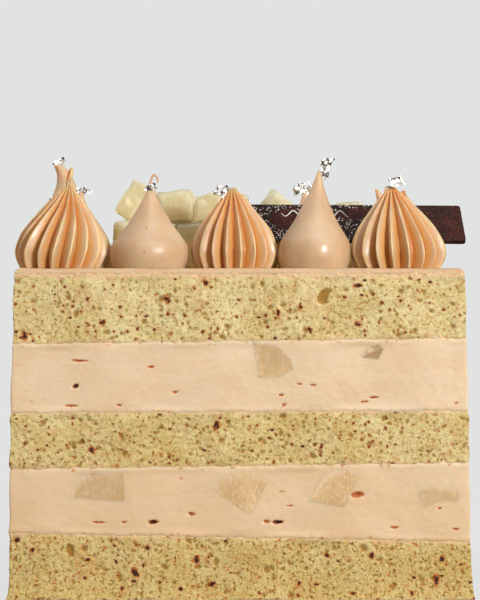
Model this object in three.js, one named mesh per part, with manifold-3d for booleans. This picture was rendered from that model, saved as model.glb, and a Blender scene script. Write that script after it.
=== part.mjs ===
// A square layered chiffon cake with trimmed, uncoated sides. Three tea-flecked sponges and two thick bands
// of peach cream show on all four sides, with diced pear cut flush in the cream. The top has a thin coat of
// cream, a ring of sixteen piped pieces, ribbed stars and plain drops by turns, a heap of diced pear and a
// plaque of dark chocolate.
// Millimetres, +Z up. The origin is the centre of the cake's foot and -Y is the front.
import * as THREE from "three";
import { ConvexGeometry } from "three/addons/geometries/ConvexGeometry.js";
import { mergeVertices } from "three/addons/utils/BufferGeometryUtils.js";
import Module from "manifold-3d";

const wasm = await Module();
wasm.setup();

// Driving dimensions.
const topSide = 130; // width and depth at the top edge
const bodySide = 132.8; // width and depth low down, as the sides lean out a little
const footSide = 134.8; // with the crumb that spreads at the foot
const footHeight = 7; // how far up that crumb reaches
const topZ = 95.4; // height of the cake without what is piped on it
const clearance = 0.3; // between pieces that touch

// Where one layer ends and the next begins: height at the centre, then its fall across width and depth.
const seams = {
  foot: { z: 0, acrossX: 0, acrossY: 0 },
  lowerSponge: { z: 17.4, acrossX: -0.0155, acrossY: 0.006 },
  lowerCream: { z: 37.9, acrossX: 0.024, acrossY: -0.008 },
  middleSponge: { z: 53.9, acrossX: 0.003, acrossY: 0.005 },
  upperCream: { z: 74.3, acrossX: 0.0155, acrossY: -0.006 },
  upperSponge: { z: 93.2, acrossX: 0, acrossY: 0 },
  top: { z: topZ, acrossX: 0, acrossY: 0 },
};

// Outlines of the piped pieces, from the foot to the tip: radius and height, in shares of each piece's own.
const starProfile = [
  [0.87, 0], [0.97, 0.12], [1, 0.24], [0.9, 0.42], [0.72, 0.58], [0.49, 0.74], [0.26, 0.89], [0.07, 1],
];
const dropProfile = [
  [0.92, 0], [1, 0.13], [0.98, 0.26], [0.8, 0.38], [0.58, 0.51], [0.38, 0.66], [0.17, 0.84], [0.04, 1],
];
const starRibs = 18;
const ribDepth = 0.2; // share of the radius that the grooves cut in
const dropFacets = 14;

const looks = {
  sponge: { color: 0xd8c583, roughness: 0.9 },
  cream: { color: 0xe6c8a0, roughness: 0.55 },
  piping: { color: 0xe3b98c, roughness: 0.45 },
  pear: { color: 0xd3c795, roughness: 0.25 },
  chocolate: { color: 0x3b1f17, roughness: 0.6 },
};

const cake = new THREE.Group();

function add(name, geometry, look) {
  const material = new THREE.MeshStandardMaterial({ ...looks[look], metalness: 0 });
  const mesh = new THREE.Mesh(geometry, material);
  mesh.name = name;
  cake.add(mesh);
  return mesh;
}

// A repeatable run of numbers from 0 to 1.
function seeded(seed) {
  let state = seed * 2654435761;
  return () => {
    state = (state + 0x6d2b79f5) | 0;
    let mixed = Math.imul(state ^ (state >>> 15), 1 | state);
    mixed = (mixed + Math.imul(mixed ^ (mixed >>> 7), 61 | mixed)) ^ mixed;
    return ((mixed ^ (mixed >>> 14)) >>> 0) / 4294967296;
  };
}

const between = (random, low, high) => low + (high - low) * random();

// Solids and geometries, to and fro.
function solidOf(geometry) {
  const bare = geometry.clone();
  bare.deleteAttribute("normal");
  bare.deleteAttribute("uv");
  const merged = mergeVertices(bare, 1e-4);
  const vertProperties = new Float32Array(merged.attributes.position.array);
  const triVerts = new Uint32Array(merged.index.array);
  return new wasm.Manifold(new wasm.Mesh({ numProp: 3, vertProperties, triVerts }));
}

function geometryOf(solid) {
  const mesh = solid.getMesh();
  const geometry = new THREE.BufferGeometry();
  geometry.setAttribute("position", new THREE.BufferAttribute(mesh.vertProperties, 3));
  geometry.setIndex(new THREE.BufferAttribute(mesh.triVerts, 1));
  geometry.computeVertexNormals();
  return geometry;
}

// Skins a stack of closed rings, each anticlockwise as seen from the last one, and caps both ends.
function skin(rings) {
  const count = rings[0].length;
  const index = [];
  for (let low = 0; low < count * (rings.length - 1); low += count)
    for (let i = 0; i < count; i++) {
      const next = (i + 1) % count;
      index.push(low + i, low + next, low + count + next);
      index.push(low + i, low + count + next, low + count + i);
    }
  const flat = (ring) => ring.map((point) => new THREE.Vector2(point.x, point.y));
  for (const [a, b, c] of THREE.ShapeUtils.triangulateShape(flat(rings[0]), [])) index.push(c, b, a);
  const last = count * (rings.length - 1);
  for (const face of THREE.ShapeUtils.triangulateShape(flat(rings.at(-1)), []))
    index.push(...face.map((corner) => last + corner));
  const geometry = new THREE.BufferGeometry().setFromPoints(rings.flat());
  geometry.setIndex(index);
  geometry.computeVertexNormals();
  return geometry;
}

// Layers.
const heightOf = (seam, x, y) => seam.z + seam.acrossX * x + seam.acrossY * y;

function halfSideAt(z) {
  const lean = (bodySide - topSide) / 2;
  const crumb = (footSide - bodySide) / 2;
  const spread = Math.max(0, 1 - z / footHeight) ** 2;
  return topSide / 2 + lean * Math.min(1, 1.25 * (1 - z / topZ)) + crumb * spread;
}

// The outline of a square of half side 1 with cut corners, anticlockwise, by steps along each side.
function squareOutline(steps, corner) {
  const points = [];
  for (let side = 0; side < 4; side++) {
    const turn = (side * Math.PI) / 2;
    for (let i = 0; i <= steps; i++) {
      const along = (1 - corner) * ((2 * i) / steps - 1);
      points.push(new THREE.Vector2(along, -1).rotateAround(new THREE.Vector2(), turn));
    }
  }
  return points;
}

// How far a trimmed side stands out of true at a place: long waves from the knife and the crumb.
function trimWave(x, y, z, phase) {
  const around = Math.abs(x) > Math.abs(y) ? y : x;
  return Math.sin(around * 0.21 + phase) * 0.6 + Math.sin(around * 0.13 - z * 0.35 + 2 * phase) * 0.4;
}

function layer(name, look, lower, upper, { steps, levels, wave, phase, rounding = () => 0 }) {
  const outline = squareOutline(steps, 0.008);
  const rings = [];
  for (let level = 0; level <= levels; level++) {
    const share = level / levels;
    rings.push(
      outline.map((point) => {
        const [x, y] = [point.x * halfSideAt(0), point.y * halfSideAt(0)];
        const low = heightOf(lower, x, y) + (lower === seams.foot ? 0 : clearance / 2);
        const high = heightOf(upper, x, y) - (upper === seams.top ? 0 : clearance / 2);
        const z = low + (high - low) * share;
        const still = level === 0 && lower === seams.foot;
        const half = halfSideAt(z) + (still ? 0 : wave * trimWave(x, y, z, phase)) - rounding(share);
        return new THREE.Vector3(point.x * half, point.y * half, z);
      }),
    );
  }
  return add(name, skin(rings), look);
}

const crumbly = { steps: 12, levels: 4, wave: 0.5 };
const sliced = { steps: 8, levels: 3, wave: 0.3 };
layer("sponge_bottom", "sponge", seams.foot, seams.lowerSponge, { ...crumbly, phase: 0.4 });
const lowerBand = { ...sliced, phase: 1.3 };
const lowerCream = layer("cream_lower", "cream", seams.lowerSponge, seams.lowerCream, lowerBand);
layer("sponge_middle", "sponge", seams.lowerCream, seams.middleSponge, { ...crumbly, phase: 2.1 });
const upperBand = { ...sliced, phase: 3.2 };
const upperCream = layer("cream_upper", "cream", seams.middleSponge, seams.upperCream, upperBand);
layer("sponge_top", "sponge", seams.upperCream, seams.upperSponge, { ...crumbly, phase: 4.4 });
layer("cream_top", "cream", seams.upperSponge, seams.top, {
  steps: 12,
  levels: 3,
  wave: 0.25,
  phase: 5,
  rounding: (share) => 1.7 * (1 - Math.sqrt(1 - share * share)),
});

// Diced pear in the cream: its place along the side and its height, its size as the cut face shows it, and
// its outline in a box from -1 to 1, anticlockwise.
const cutShapes = {
  wedge: [[-0.7, -1], [0.3, -0.95], [1, -0.45], [0.85, 0.1], [0.3, 0.75], [-0.4, 1], [-1, 1]],
  slab: [[-1, -0.7], [0.35, -1], [1, 0.6], [0.4, 1], [-0.5, 0.6]],
  block: [[-1, -0.75], [1, -1], [0.95, 1], [-0.25, 0.95], [-0.9, 0.3]],
  facet: [[-0.85, -0.1], [0.3, -1], [0.6, -0.65], [1, 0.45], [0.1, 1], [-0.4, 0.85], [-1, 0.2]],
  shard: [[-0.75, -1], [-0.1, -0.45], [1, -0.3], [0.95, 0.65], [-1, 1]],
};
const pearInCream = {
  front: [
    { along: 9.7, z: 68.8, width: 13.6, height: 12, shape: "wedge" },
    { along: 38.6, z: 71.2, width: 8.8, height: 5.8, shape: "slab" },
    { along: -40.7, z: 32.4, width: 17.6, height: 10.2, shape: "block" },
    { along: 0.2, z: 30.9, width: 17.6, height: 14.4, shape: "facet" },
    { along: 27.4, z: 32.2, width: 17.2, height: 13, shape: "slab" },
    { along: 57.4, z: 29.4, width: 14.2, height: 8.6, shape: "shard" },
  ],
  right: [
    { along: -18, z: 30.5, width: 15, height: 11, shape: "facet" },
    { along: 26, z: 29, width: 17, height: 10, shape: "block" },
    { along: -36, z: 66, width: 12, height: 12, shape: "wedge" },
    { along: 8, z: 64.5, width: 15, height: 9, shape: "shard" },
  ],
  back: [
    { along: -44, z: 66.5, width: 14, height: 10, shape: "facet" },
    { along: 4, z: 64, width: 13, height: 12, shape: "wedge" },
    { along: -24, z: 28, width: 16, height: 11, shape: "shard" },
    { along: 17, z: 31, width: 17, height: 10, shape: "block" },
    { along: 46, z: 28, width: 12, height: 9, shape: "slab" },
  ],
  left: [
    { along: -30, z: 65.5, width: 16, height: 10, shape: "block" },
    { along: 31, z: 67, width: 12, height: 10, shape: "slab" },
    { along: -8, z: 28, width: 15, height: 12, shape: "facet" },
    { along: 40, z: 28.5, width: 13, height: 10, shape: "wedge" },
  ],
};
const sideTurns = { front: 0, right: 90, back: 180, left: 270 };
const pearDepth = 9; // how far a piece goes in behind its cut face

// A block that runs in from outside the side that faces -Y, narrowing inwards, grown by a margin all round.
function cutBlock({ along, z, width, height, shape }, margin) {
  const outside = footSide / 2 + 2;
  const outline = cutShapes[shape].map(([u, v]) => [u * (width / 2 + margin), v * (height / 2 + margin)]);
  const section = (y, share) =>
    outline.map(([x, up]) => new THREE.Vector3(along + x * share, z + up * share, -y));
  const block = skin([section(-bodySide / 2 + pearDepth + margin, 0.82), section(-outside, 1)]);
  return block.applyMatrix4(new THREE.Matrix4().makeRotationX(Math.PI / 2));
}

const creams = { upper: solidOf(upperCream.geometry), lower: solidOf(lowerCream.geometry) };
const whole = { ...creams };
for (const [side, pieces] of Object.entries(pearInCream))
  pieces.forEach((piece, i) => {
    const turn = new THREE.Matrix4().makeRotationZ(THREE.MathUtils.degToRad(sideTurns[side]));
    const band = piece.z > seams.middleSponge.z ? "upper" : "lower";
    const pear = solidOf(cutBlock(piece, 0).applyMatrix4(turn)).intersect(whole[band]);
    const pocket = solidOf(cutBlock(piece, clearance).applyMatrix4(turn));
    creams[band] = creams[band].subtract(pocket);
    add(`pear_${side}_${i + 1}`, geometryOf(pear), "pear");
  });
upperCream.geometry = geometryOf(creams.upper);
lowerCream.geometry = geometryOf(creams.lower);

// Piped pieces. A centreline leans from the foot towards the tip, which may hook over. A stout piece has a
// thicker tip.
function centreAt(piece, share) {
  const [leanX, leanY] = piece.lean ?? [0, 0];
  const [hookX, hookY] = piece.hook ?? [0, 0];
  const bend = share ** 2;
  const end = Math.max(0, share - 0.8) * 5;
  return new THREE.Vector2(leanX * bend + hookX * end ** 2, leanY * bend + hookY * end ** 2);
}

function pipedRing(piece, share, radius, count, radiusAt) {
  const centre = centreAt(piece, share);
  const twist = THREE.MathUtils.degToRad((piece.twist ?? 0) * share);
  return Array.from({ length: count }, (_, i) => {
    const angle = (2 * Math.PI * i) / count + twist;
    const r = radius * radiusAt(i);
    const [x, y] = [centre.x + r * Math.cos(angle), centre.y + r * Math.sin(angle)];
    return new THREE.Vector3(x, y, piece.height * share);
  });
}

function pipedBody(piece, profile, count, radiusAt) {
  const stout = piece.stout ?? 0;
  const rings = profile.map(([r, share]) =>
    pipedRing(piece, share, piece.radius * r + stout * share, count, (i) => radiusAt(i, share)),
  );
  return solidOf(skin(rings));
}

// A thread of cream that the nozzle pulls off the crown of a star.
function tail(piece) {
  const height = piece.tail + 1.5;
  const [towardsX, towardsY] = piece.tailLean ?? [0, 0];
  const cone = new THREE.CylinderGeometry(0.35, 1.5, height, 7).rotateX(Math.PI / 2);
  const shear = new THREE.Matrix4().makeShear(0, 0, 0, 0, towardsX / height, towardsY / height);
  const foot = centreAt(piece, 1);
  cone.translate(0, 0, height / 2).applyMatrix4(shear);
  return solidOf(cone.translate(foot.x, foot.y, piece.height - 1.5));
}

// A crumpled flake of silver leaf: the hull of some scattered points and of one inside the crown it clings to.
function leaf(piece, random) {
  const [width, depth, height] = piece.leaf.size;
  const [x, y, z] = piece.leaf.at;
  const points = [];
  const spread = [
    [1, 0, 0.3], [-1, 0.2, -0.4], [0.2, 1, 0.5], [-0.3, -1, 0], [0.5, -0.4, 1], [-0.4, 0.3, -1],
  ];
  for (const [u, v, w] of spread) {
    const pull = () => between(random, 0.8, 1.1) / 2;
    points.push(new THREE.Vector3(x + u * width * pull(), y + v * depth * pull(), z + w * height * pull()));
  }
  const crown = centreAt(piece, 0.93);
  points.push(new THREE.Vector3(crown.x, crown.y, 0.93 * piece.height));
  return solidOf(new ConvexGeometry(points));
}

function star(piece, random) {
  const groove = (i, share) => (i % 2 ? 1 - ribDepth * (1 - 0.6 * share) : 1);
  const body = pipedBody(piece, starProfile, 2 * starRibs, groove).add(tail(piece));
  return geometryOf(piece.leaf ? body.add(leaf(piece, random)) : body);
}

function drop(piece, random) {
  const body = pipedBody(piece, dropProfile, dropFacets, () => 1);
  return geometryOf(piece.leaf ? body.add(leaf(piece, random)) : body);
}

// The front row, as it shows, from left to right.
const frontRow = [
  {
    kind: "star", x: -52.4, y: -50, radius: 14, height: 24.4, lean: [2.2, 0], twist: 24,
    tail: 5.6, tailLean: [0.9, 0], leaf: { at: [6.4, -0.4, 22.8], size: [4.8, 2.2, 3] },
  },
  {
    kind: "drop", x: -26.5, y: -51, radius: 11.7, height: 25.6, lean: [0.4, 0],
    leaf: { at: [0.4, -0.6, 23.8], size: [3.8, 2, 2.4] },
  },
  {
    kind: "star", x: -1.7, y: -50.1, radius: 12.9, height: 23.9, lean: [-0.4, 0], twist: 0,
    tail: 0.8, leaf: { at: [-3.3, -1, 22.6], size: [5, 2.6, 4.2] },
  },
  {
    kind: "drop", x: 22, y: -52, radius: 10.6, height: 28.8, lean: [1.5, 0],
    leaf: { at: [3.4, 0, 29.8], size: [3, 2, 6] },
  },
  {
    kind: "star", x: 46.9, y: -49.9, radius: 14.1, height: 24.2, lean: [-2.1, 0], twist: -6,
    tail: 0.8, leaf: { at: [-0.8, -0.6, 25.4], size: [4.8, 2.4, 3.2] },
  },
];

// The rest of the ring, anticlockwise from the front right corner, with the places the plaque leaves them.
// Three of them carry no leaf.
const restOfRing = [
  { x: 48.4, y: -20.6, kind: "drop", radius: 11.2, height: 25, lean: [-6.4, 1], leaf: null },
  { x: 50.4, y: 3.8, kind: "star", radius: 12.9, height: 24.4, lean: [1.6, 0.4], twist: 10, leaf: null },
  { x: 50, y: 28.1, kind: "drop", radius: 11.1, height: 28, lean: [-1.8, 0.6], leaf: null },
  { x: 50.6, y: 52.4, kind: "star", radius: 13, height: 23.6, lean: [-2, -0.4], twist: -8 },
  {
    x: 22.4, y: 52.4, kind: "drop", radius: 11.3, height: 28, lean: [-0.4, -0.8],
    leaf: { at: [-0.8, -1, 28], size: [6.6, 3, 5.8] },
  },
  { x: -2.3, y: 51.8, kind: "star", radius: 13, height: 24.2, lean: [0.6, 0.4], twist: 8 },
  { x: -27, y: 52, kind: "drop", radius: 11.3, height: 25, lean: [0.8, 0.2] },
  { x: -54.2, y: 52.6, kind: "star", radius: 11.6, height: 23, lean: [-0.8, 0.6], twist: 12 },
  { x: -52.2, y: 26.4, kind: "drop", radius: 11.2, height: 26.8, lean: [0.4, -1] },
  { x: -53, y: 1.6, kind: "star", radius: 12.4, height: 24.4, lean: [0.6, -0.6], twist: 6 },
  {
    x: -52.8, y: -23.4, kind: "drop", radius: 11.4, height: 32, stout: 1, lean: [-0.2, 0.4], hook: [-2.2, 0],
    leaf: { at: [-2.6, -0.2, 32.8], size: [4.6, 2, 2.8] },
  },
];

const pipingRandom = seeded(7);
for (const piece of restOfRing) {
  const crown = centreAt(piece, 1);
  const side = between(pipingRandom, -1, 1);
  piece.tail = between(pipingRandom, 0.8, 3);
  piece.tailLean = [between(pipingRandom, -1, 1), between(pipingRandom, -1, 1)];
  const low = piece.kind === "star" ? 0.6 : 1.2;
  if (piece.leaf === undefined)
    piece.leaf = { at: [crown.x + side, crown.y - 0.4, piece.height - low], size: [3.6, 2.2, 2.8] };
}

const counts = { star: 0, drop: 0 };
for (const piece of [...frontRow, ...restOfRing]) {
  const made = (piece.kind === "star" ? star : drop)(piece, pipingRandom);
  const mesh = add(`${piece.kind}_${++counts[piece.kind]}`, made, "piping");
  mesh.position.set(piece.x, piece.y, topZ + clearance);
}

// The plaque: a thin rounded bar that stands in the furrow behind the front row, leaning back on a piece of
// pear and on the first drop of the right side. Its right end is cut a little askew.
const plaque = {
  length: 69, width: 15.6, thickness: 1.4, corner: 1, askew: 0.9,
  lean: 45, fall: 0.5, bottomZ: 7.8, y: -34.6, centreX: 32.7,
};

function plaqueGeometry({ length, width, thickness, corner, askew }) {
  const [x, y] = [length / 2, width / 2];
  const outline = new THREE.Shape();
  outline.absarc(x - corner, y - corner, corner, 0, Math.PI / 2);
  outline.absarc(corner - x, y - corner, corner, Math.PI / 2, Math.PI);
  outline.absarc(corner - x, corner - y, corner, Math.PI, Math.PI * 1.5);
  outline.absarc(x - corner + askew, corner - y, corner, Math.PI * 1.5, Math.PI * 2);
  return new THREE.ExtrudeGeometry(outline, { depth: thickness, bevelEnabled: false, curveSegments: 3 });
}

const plaqueMesh = add("chocolate_plaque", plaqueGeometry(plaque), "chocolate");
const plaqueTurn = THREE.MathUtils.degToRad(90 - plaque.lean);
plaqueMesh.rotation.set(plaqueTurn, 0, -THREE.MathUtils.degToRad(plaque.fall));
plaqueMesh.position.set(
  plaque.centreX,
  plaque.y + (plaque.width / 2) * Math.cos(plaqueTurn),
  topZ + plaque.bottomZ + (plaque.width / 2) * Math.sin(plaqueTurn),
);

// The heap of diced pear inside the ring: bevelled blocks, cut a little askew, some with a top that slopes.
const pearBevel = 0.7;

function dicedPear([width, depth, height], slope, random) {
  const points = [];
  for (const sx of [-1, 1])
    for (const sy of [-1, 1])
      for (const sz of [-1, 1]) {
        const reach = () => between(random, 0.86, 1) / 2;
        const [x, y] = [sx * width * reach(), sy * depth * reach()];
        const z = (sz * height) / 2 + (sz > 0 ? slope * x : 0);
        points.push(new THREE.Vector3(x, y - sy * pearBevel, z - sz * pearBevel));
        points.push(new THREE.Vector3(x - sx * pearBevel, y, z - sz * pearBevel));
        points.push(new THREE.Vector3(x - sx * pearBevel, y - sy * pearBevel, z));
      }
  return new ConvexGeometry(points);
}

// Each piece: its centre from the top of the cream, its size, and its turns about X, Y and Z.
const pearHeap = [
  // On the cream, the front row first.
  { at: [-29.7, -20.6, 7.1], size: [17.8, 16, 14.2], turn: [0, 0, 3] },
  { at: [-12.4, -21, 7], size: [15.6, 15, 14], turn: [0, 0, -6] },
  { at: [4.4, -18.6, 7], size: [15.4, 15, 14], turn: [0, 0, 7] },
  { at: [21.8, -18, 7.1], size: [17, 14.6, 14.2], turn: [0, 0, -4] },
  { at: [-30.8, -2, 6.7], size: [14.6, 17, 13.4], turn: [0, 0, -8] },
  { at: [-12.4, -2.4, 6.9], size: [19, 17.4, 13.8], turn: [0, 0, 5] },
  { at: [8, -0.2, 6.6], size: [18.6, 16.4, 13.2], turn: [0, 0, -3] },
  { at: [27.2, 1, 7.1], size: [16.4, 18, 14.2], turn: [0, 0, 6] },
  { at: [-26.4, 20.4, 6.4], size: [19, 19, 12.8], turn: [0, 0, 10] },
  { at: [-2.6, 20.6, 6.8], size: [20, 19, 13.6], turn: [0, 0, -7] },
  { at: [20.6, 22.6, 6.4], size: [19, 19, 12.8], turn: [0, 0, 5] },
  // The second tier.
  { at: [-32.6, -19.6, 20.9], size: [6.6, 12, 11.8], turn: [0, 31, 3] },
  { at: [-20.3, -20, 19], size: [12.4, 13, 9], turn: [0, 0, 3], slope: 0.1 },
  { at: [-9, -19.4, 18.9], size: [9.6, 12, 8.8], turn: [0, 0, -2], slope: 0.36 },
  { at: [0, -17.4, 18.8], size: [5.8, 10.6, 8.8], turn: [0, 0, 2], slope: -0.25 },
  { at: [11.2, -17, 19.8], size: [8.4, 11, 7.2], turn: [0, 39, 8] },
  { at: [34.4, -0.6, 18], size: [7.4, 12, 6.8], turn: [0, -3, 10] },
  { at: [-12, 13, 18.8], size: [17, 15, 8.6], turn: [1, 2, 28] },
];

pearHeap.forEach(({ at, size, turn, slope = 0 }, i) => {
  const mesh = add(`pear_top_${i + 1}`, dicedPear(size, slope, seeded(31 + i)), "pear");
  mesh.rotation.set(...turn.map(THREE.MathUtils.degToRad));
  mesh.position.set(at[0], at[1], topZ + at[2] + clearance);
});

export default cake;
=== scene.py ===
# Square layered chiffon cake: three tea-flecked sponges, two bands of peach cream with diced pear,
# and a top of piped stars and drops, silver leaf, a heap of pear and a chocolate plaque.
import math
import random

import bpy
import numpy as np
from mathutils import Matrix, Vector, kdtree, noise


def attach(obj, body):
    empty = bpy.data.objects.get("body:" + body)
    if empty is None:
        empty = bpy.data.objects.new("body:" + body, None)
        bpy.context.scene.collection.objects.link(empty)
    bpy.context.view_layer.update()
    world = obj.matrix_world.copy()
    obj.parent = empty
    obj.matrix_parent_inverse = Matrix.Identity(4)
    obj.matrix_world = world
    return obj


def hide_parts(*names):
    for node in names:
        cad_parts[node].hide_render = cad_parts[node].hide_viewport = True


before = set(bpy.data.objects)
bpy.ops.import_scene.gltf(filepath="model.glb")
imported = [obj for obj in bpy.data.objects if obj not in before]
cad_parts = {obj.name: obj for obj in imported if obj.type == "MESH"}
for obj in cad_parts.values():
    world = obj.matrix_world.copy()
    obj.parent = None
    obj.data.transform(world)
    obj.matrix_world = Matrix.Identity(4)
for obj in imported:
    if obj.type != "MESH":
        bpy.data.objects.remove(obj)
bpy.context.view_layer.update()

mm = 0.001

# The cake's body, as cut: what every slab is shaped from.
cake = {
    "topSide": 130,  # width and depth at the top edge
    "bodySide": 132.8,  # low down, as the sides lean out
    "footSide": 134.8,  # with the crumb that spreads at the foot
    "footHeight": 7,
    "topZ": 95.4,
    "leanRate": 1.25,  # how soon the sides lean out in full: a fifth of the way up
}

# Height of each seam at the centre, and how much it rises per millimetre across the width and the depth.
seams = {
    "foot": (0, 0, 0),
    "lowerSponge": (18.5, -0.0185, 0.006),
    "lowerCream": (37.6, 0.0135, -0.008),
    "middleSponge": (54.5, 0.005, 0.005),
    "upperCream": (73.7, 0.0125, -0.006),
    "upperSponge": (93.2, 0, 0),
    "top": (cake["topZ"], 0, 0),
}

# Each side's axis, and which way it looks along it.
sidesOfCake = {"front": (1, -1), "right": (0, 1), "back": (1, 1), "left": (0, -1)}
sidesOutOfSight = ("right", "back", "left")


def deselectAll():
    if bpy.context.object and bpy.context.object.mode != "OBJECT":
        bpy.ops.object.mode_set(mode="OBJECT")
    bpy.ops.object.select_all(action="DESELECT")


def choose(obj):
    deselectAll()
    obj.select_set(True)
    bpy.context.view_layer.objects.active = obj


def editAll(obj):
    choose(obj)
    bpy.ops.object.mode_set(mode="EDIT")
    bpy.ops.mesh.select_all(action="SELECT")


def leaveEdit():
    bpy.ops.object.mode_set(mode="OBJECT")


def named(name):
    obj = bpy.context.object
    obj.name = name
    obj.data.name = name
    return obj


def placeInMesh(obj):
    choose(obj)
    bpy.ops.object.transform_apply(location=True, rotation=True, scale=True)


def addModifier(obj, kind, **values):
    modifier = obj.modifiers.new(kind.title(), kind)
    for key, value in values.items():
        setattr(modifier, key, value)


def addRelief(obj, size, strength, depth, **values):
    # Cloudy bumps, their size and strength in millimetres.
    texture = bpy.data.textures.new(obj.name + "Relief", "CLOUDS")
    texture.noise_scale = size * mm
    texture.noise_depth = depth
    addModifier(
        obj, "DISPLACE", texture=texture, texture_coords="LOCAL", strength=strength * mm, mid_level=0.5,
        **values,
    )


def applyModifiers(obj):
    choose(obj)
    for modifier in list(obj.modifiers):
        bpy.ops.object.modifier_apply(modifier=modifier.name)


def smoothShade(obj):
    choose(obj)
    bpy.ops.object.shade_smooth()


def copyOfNode(node, name):
    # A copy of a plain solid, with its faces joined and free of the frame.
    choose(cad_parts[node])
    bpy.ops.object.duplicate()
    piece = named(name)
    piece.parent = None
    for key in list(piece.keys()):
        del piece[key]
    editAll(piece)
    bpy.ops.mesh.remove_doubles(threshold=0.01 * mm)
    leaveEdit()
    return piece


def setMaterial(obj, material):
    obj.data.materials.clear()
    obj.data.materials.append(material)


def standFor(piece, node, material):
    # The finished piece takes the place of the plain solid.
    setMaterial(piece, material)
    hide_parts(node)
    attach(piece, "root")


def points(mesh, what="co"):
    values = np.empty(len(mesh.vertices) * 3)
    mesh.vertices.foreach_get(what, values)
    return values.reshape(-1, 3)


def movePoints(mesh, co):
    mesh.vertices.foreach_set("co", co.ravel())
    mesh.update()


def storeOnPoints(mesh, name, values):
    layer = mesh.attributes.new(name, "FLOAT", "POINT")
    layer.data.foreach_set("value", values)


def treeOf(places):
    # A search tree of numbered places.
    tree = kdtree.KDTree(len(places))
    for i, place in places:
        tree.insert(place, i)
    tree.balance()
    return tree


threadShape = {
    "tip": 0.4,  # radius at both ends, as a share of the full one
    "taper": 5,  # the thread is at its full radius after a fifth of its length
    "roundness": 3,
    "steps": 8,  # from one place to the next
}


def threadAlong(name, path, radius):
    # A round thread through a list of places, in millimetres, thinner towards both ends.
    deselectAll()
    bpy.ops.curve.primitive_nurbs_path_add(location=(0, 0, 0))
    curve = bpy.context.object
    spline = curve.data.splines[0]
    spline.points.add(len(path) - len(spline.points))
    tip, taper = threadShape["tip"], threadShape["taper"]
    for i, place in enumerate(path):
        share = i / (len(path) - 1)
        spline.points[i].co = (place[0] * mm, place[1] * mm, place[2] * mm, 1)
        spline.points[i].radius = tip + (1 - tip) * min(1, taper * share, taper * (1 - share))
    spline.use_endpoint_u = True
    spline.order_u = 4
    curve.data.bevel_depth = radius * mm
    curve.data.bevel_resolution = threadShape["roundness"]
    curve.data.resolution_u = threadShape["steps"]
    curve.data.use_fill_caps = True
    bpy.ops.object.convert(target="MESH")
    thread = named(name)
    smoothShade(thread)
    return thread


class Wiring:
    # One node tree, with short ways to add and join nodes.
    columnWidth = 190

    def __init__(self, tree):
        self.tree = tree
        self.column = 0

    def add(self, kind, **values):
        node = self.tree.nodes.new(kind)
        node.location = (self.column * self.columnWidth, 0)
        self.column += 1
        for key, value in values.items():
            setattr(node, key, value)
        return node

    def feed(self, socket, value):
        # A socket takes another node's output, or a fixed value.
        if isinstance(value, bpy.types.NodeSocket):
            self.tree.links.new(value, socket)
        else:
            socket.default_value = value

    def put(self, node, key, value):
        self.feed(node.inputs[key], value)

    def putAll(self, node, values):
        for key, value in values.items():
            self.put(node, key, value)

    def math(self, operation, first, second, clamp=False):
        node = self.add("ShaderNodeMath", operation=operation, use_clamp=clamp)
        self.put(node, 0, first)
        self.put(node, 1, second)
        return node.outputs[0]

    def vectorMath(self, operation, first, second=None):
        node = self.add("ShaderNodeVectorMath", operation=operation)
        self.put(node, 0, first)
        if second is not None:
            self.put(node, "Scale" if operation == "SCALE" else 1, second)
        return node.outputs["Value" if operation in ("DISTANCE", "LENGTH") else "Vector"]

    def part(self, vector, axis):
        node = self.add("ShaderNodeSeparateXYZ")
        self.put(node, 0, vector)
        return node.outputs[axis]

    def ramp(self, value, low, high, toLow=0.0, toHigh=1.0, smooth=True):
        node = self.add("ShaderNodeMapRange", interpolation_type="SMOOTHSTEP" if smooth else "LINEAR")
        limits = {"From Min": low, "From Max": high, "To Min": toLow, "To Max": toHigh}
        self.putAll(node, {"Value": value, **limits})
        return node.outputs["Result"]

    def mix(self, factor, first, second):
        node = self.add("ShaderNodeMix", data_type="RGBA")
        self.put(node, "Factor", factor)
        for socket, value in zip([s for s in node.inputs if s.type == "RGBA"], (first, second)):
            self.feed(socket, value)
        return next(s for s in node.outputs if s.type == "RGBA")

    def lay(self, colour, mask, strength, tint):
        # A tint over the colour, where the mask says.
        return self.mix(self.math("MULTIPLY", mask, strength), colour, tint)

    def stretch(self, vector, scale, turn=(0, 0, 0)):
        node = self.add("ShaderNodeMapping")
        self.putAll(node, {"Vector": vector, "Scale": scale, "Rotation": [math.radians(a) for a in turn]})
        return node.outputs[0]

    def noiseNode(self, vector, perMetre, detail=2.0, roughness=0.5):
        node = self.add("ShaderNodeTexNoise")
        self.putAll(node, {"Vector": vector, "Scale": perMetre, "Detail": detail, "Roughness": roughness})
        return node

    def noise(self, vector, size, detail=2.0, roughness=0.5):
        return self.noiseNode(vector, 1 / (size * mm), detail, roughness).outputs["Fac"]

    def uneven(self, vector, size, detail, amount, roughness=0.5):
        # Noise to both sides of zero.
        centred = self.math("SUBTRACT", self.noise(vector, size, detail, roughness), 0.5)
        return self.math("MULTIPLY", centred, amount)

    def group(self, tree, vector, values):
        node = self.add("ShaderNodeGroup", node_tree=tree)
        self.putAll(node, {"Vector": vector, **values})
        return node.outputs[0]

    def bump(self, height, strength, distance):
        node = self.add("ShaderNodeBump")
        self.putAll(node, {"Height": height, "Strength": strength, "Distance": distance * mm})
        return node.outputs[0]

    def attribute(self, name):
        return self.add("ShaderNodeAttribute", attribute_name=name).outputs["Fac"]


def rgb(red, green, blue):
    # A colour read on screen, 0 to 255, as the linear light that a shader takes.
    def linear(part):
        part = part / 255
        return part / 12.92 if part <= 0.04045 else ((part + 0.055) / 1.055) ** 2.4

    return (linear(red), linear(green), linear(blue), 1)


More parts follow.
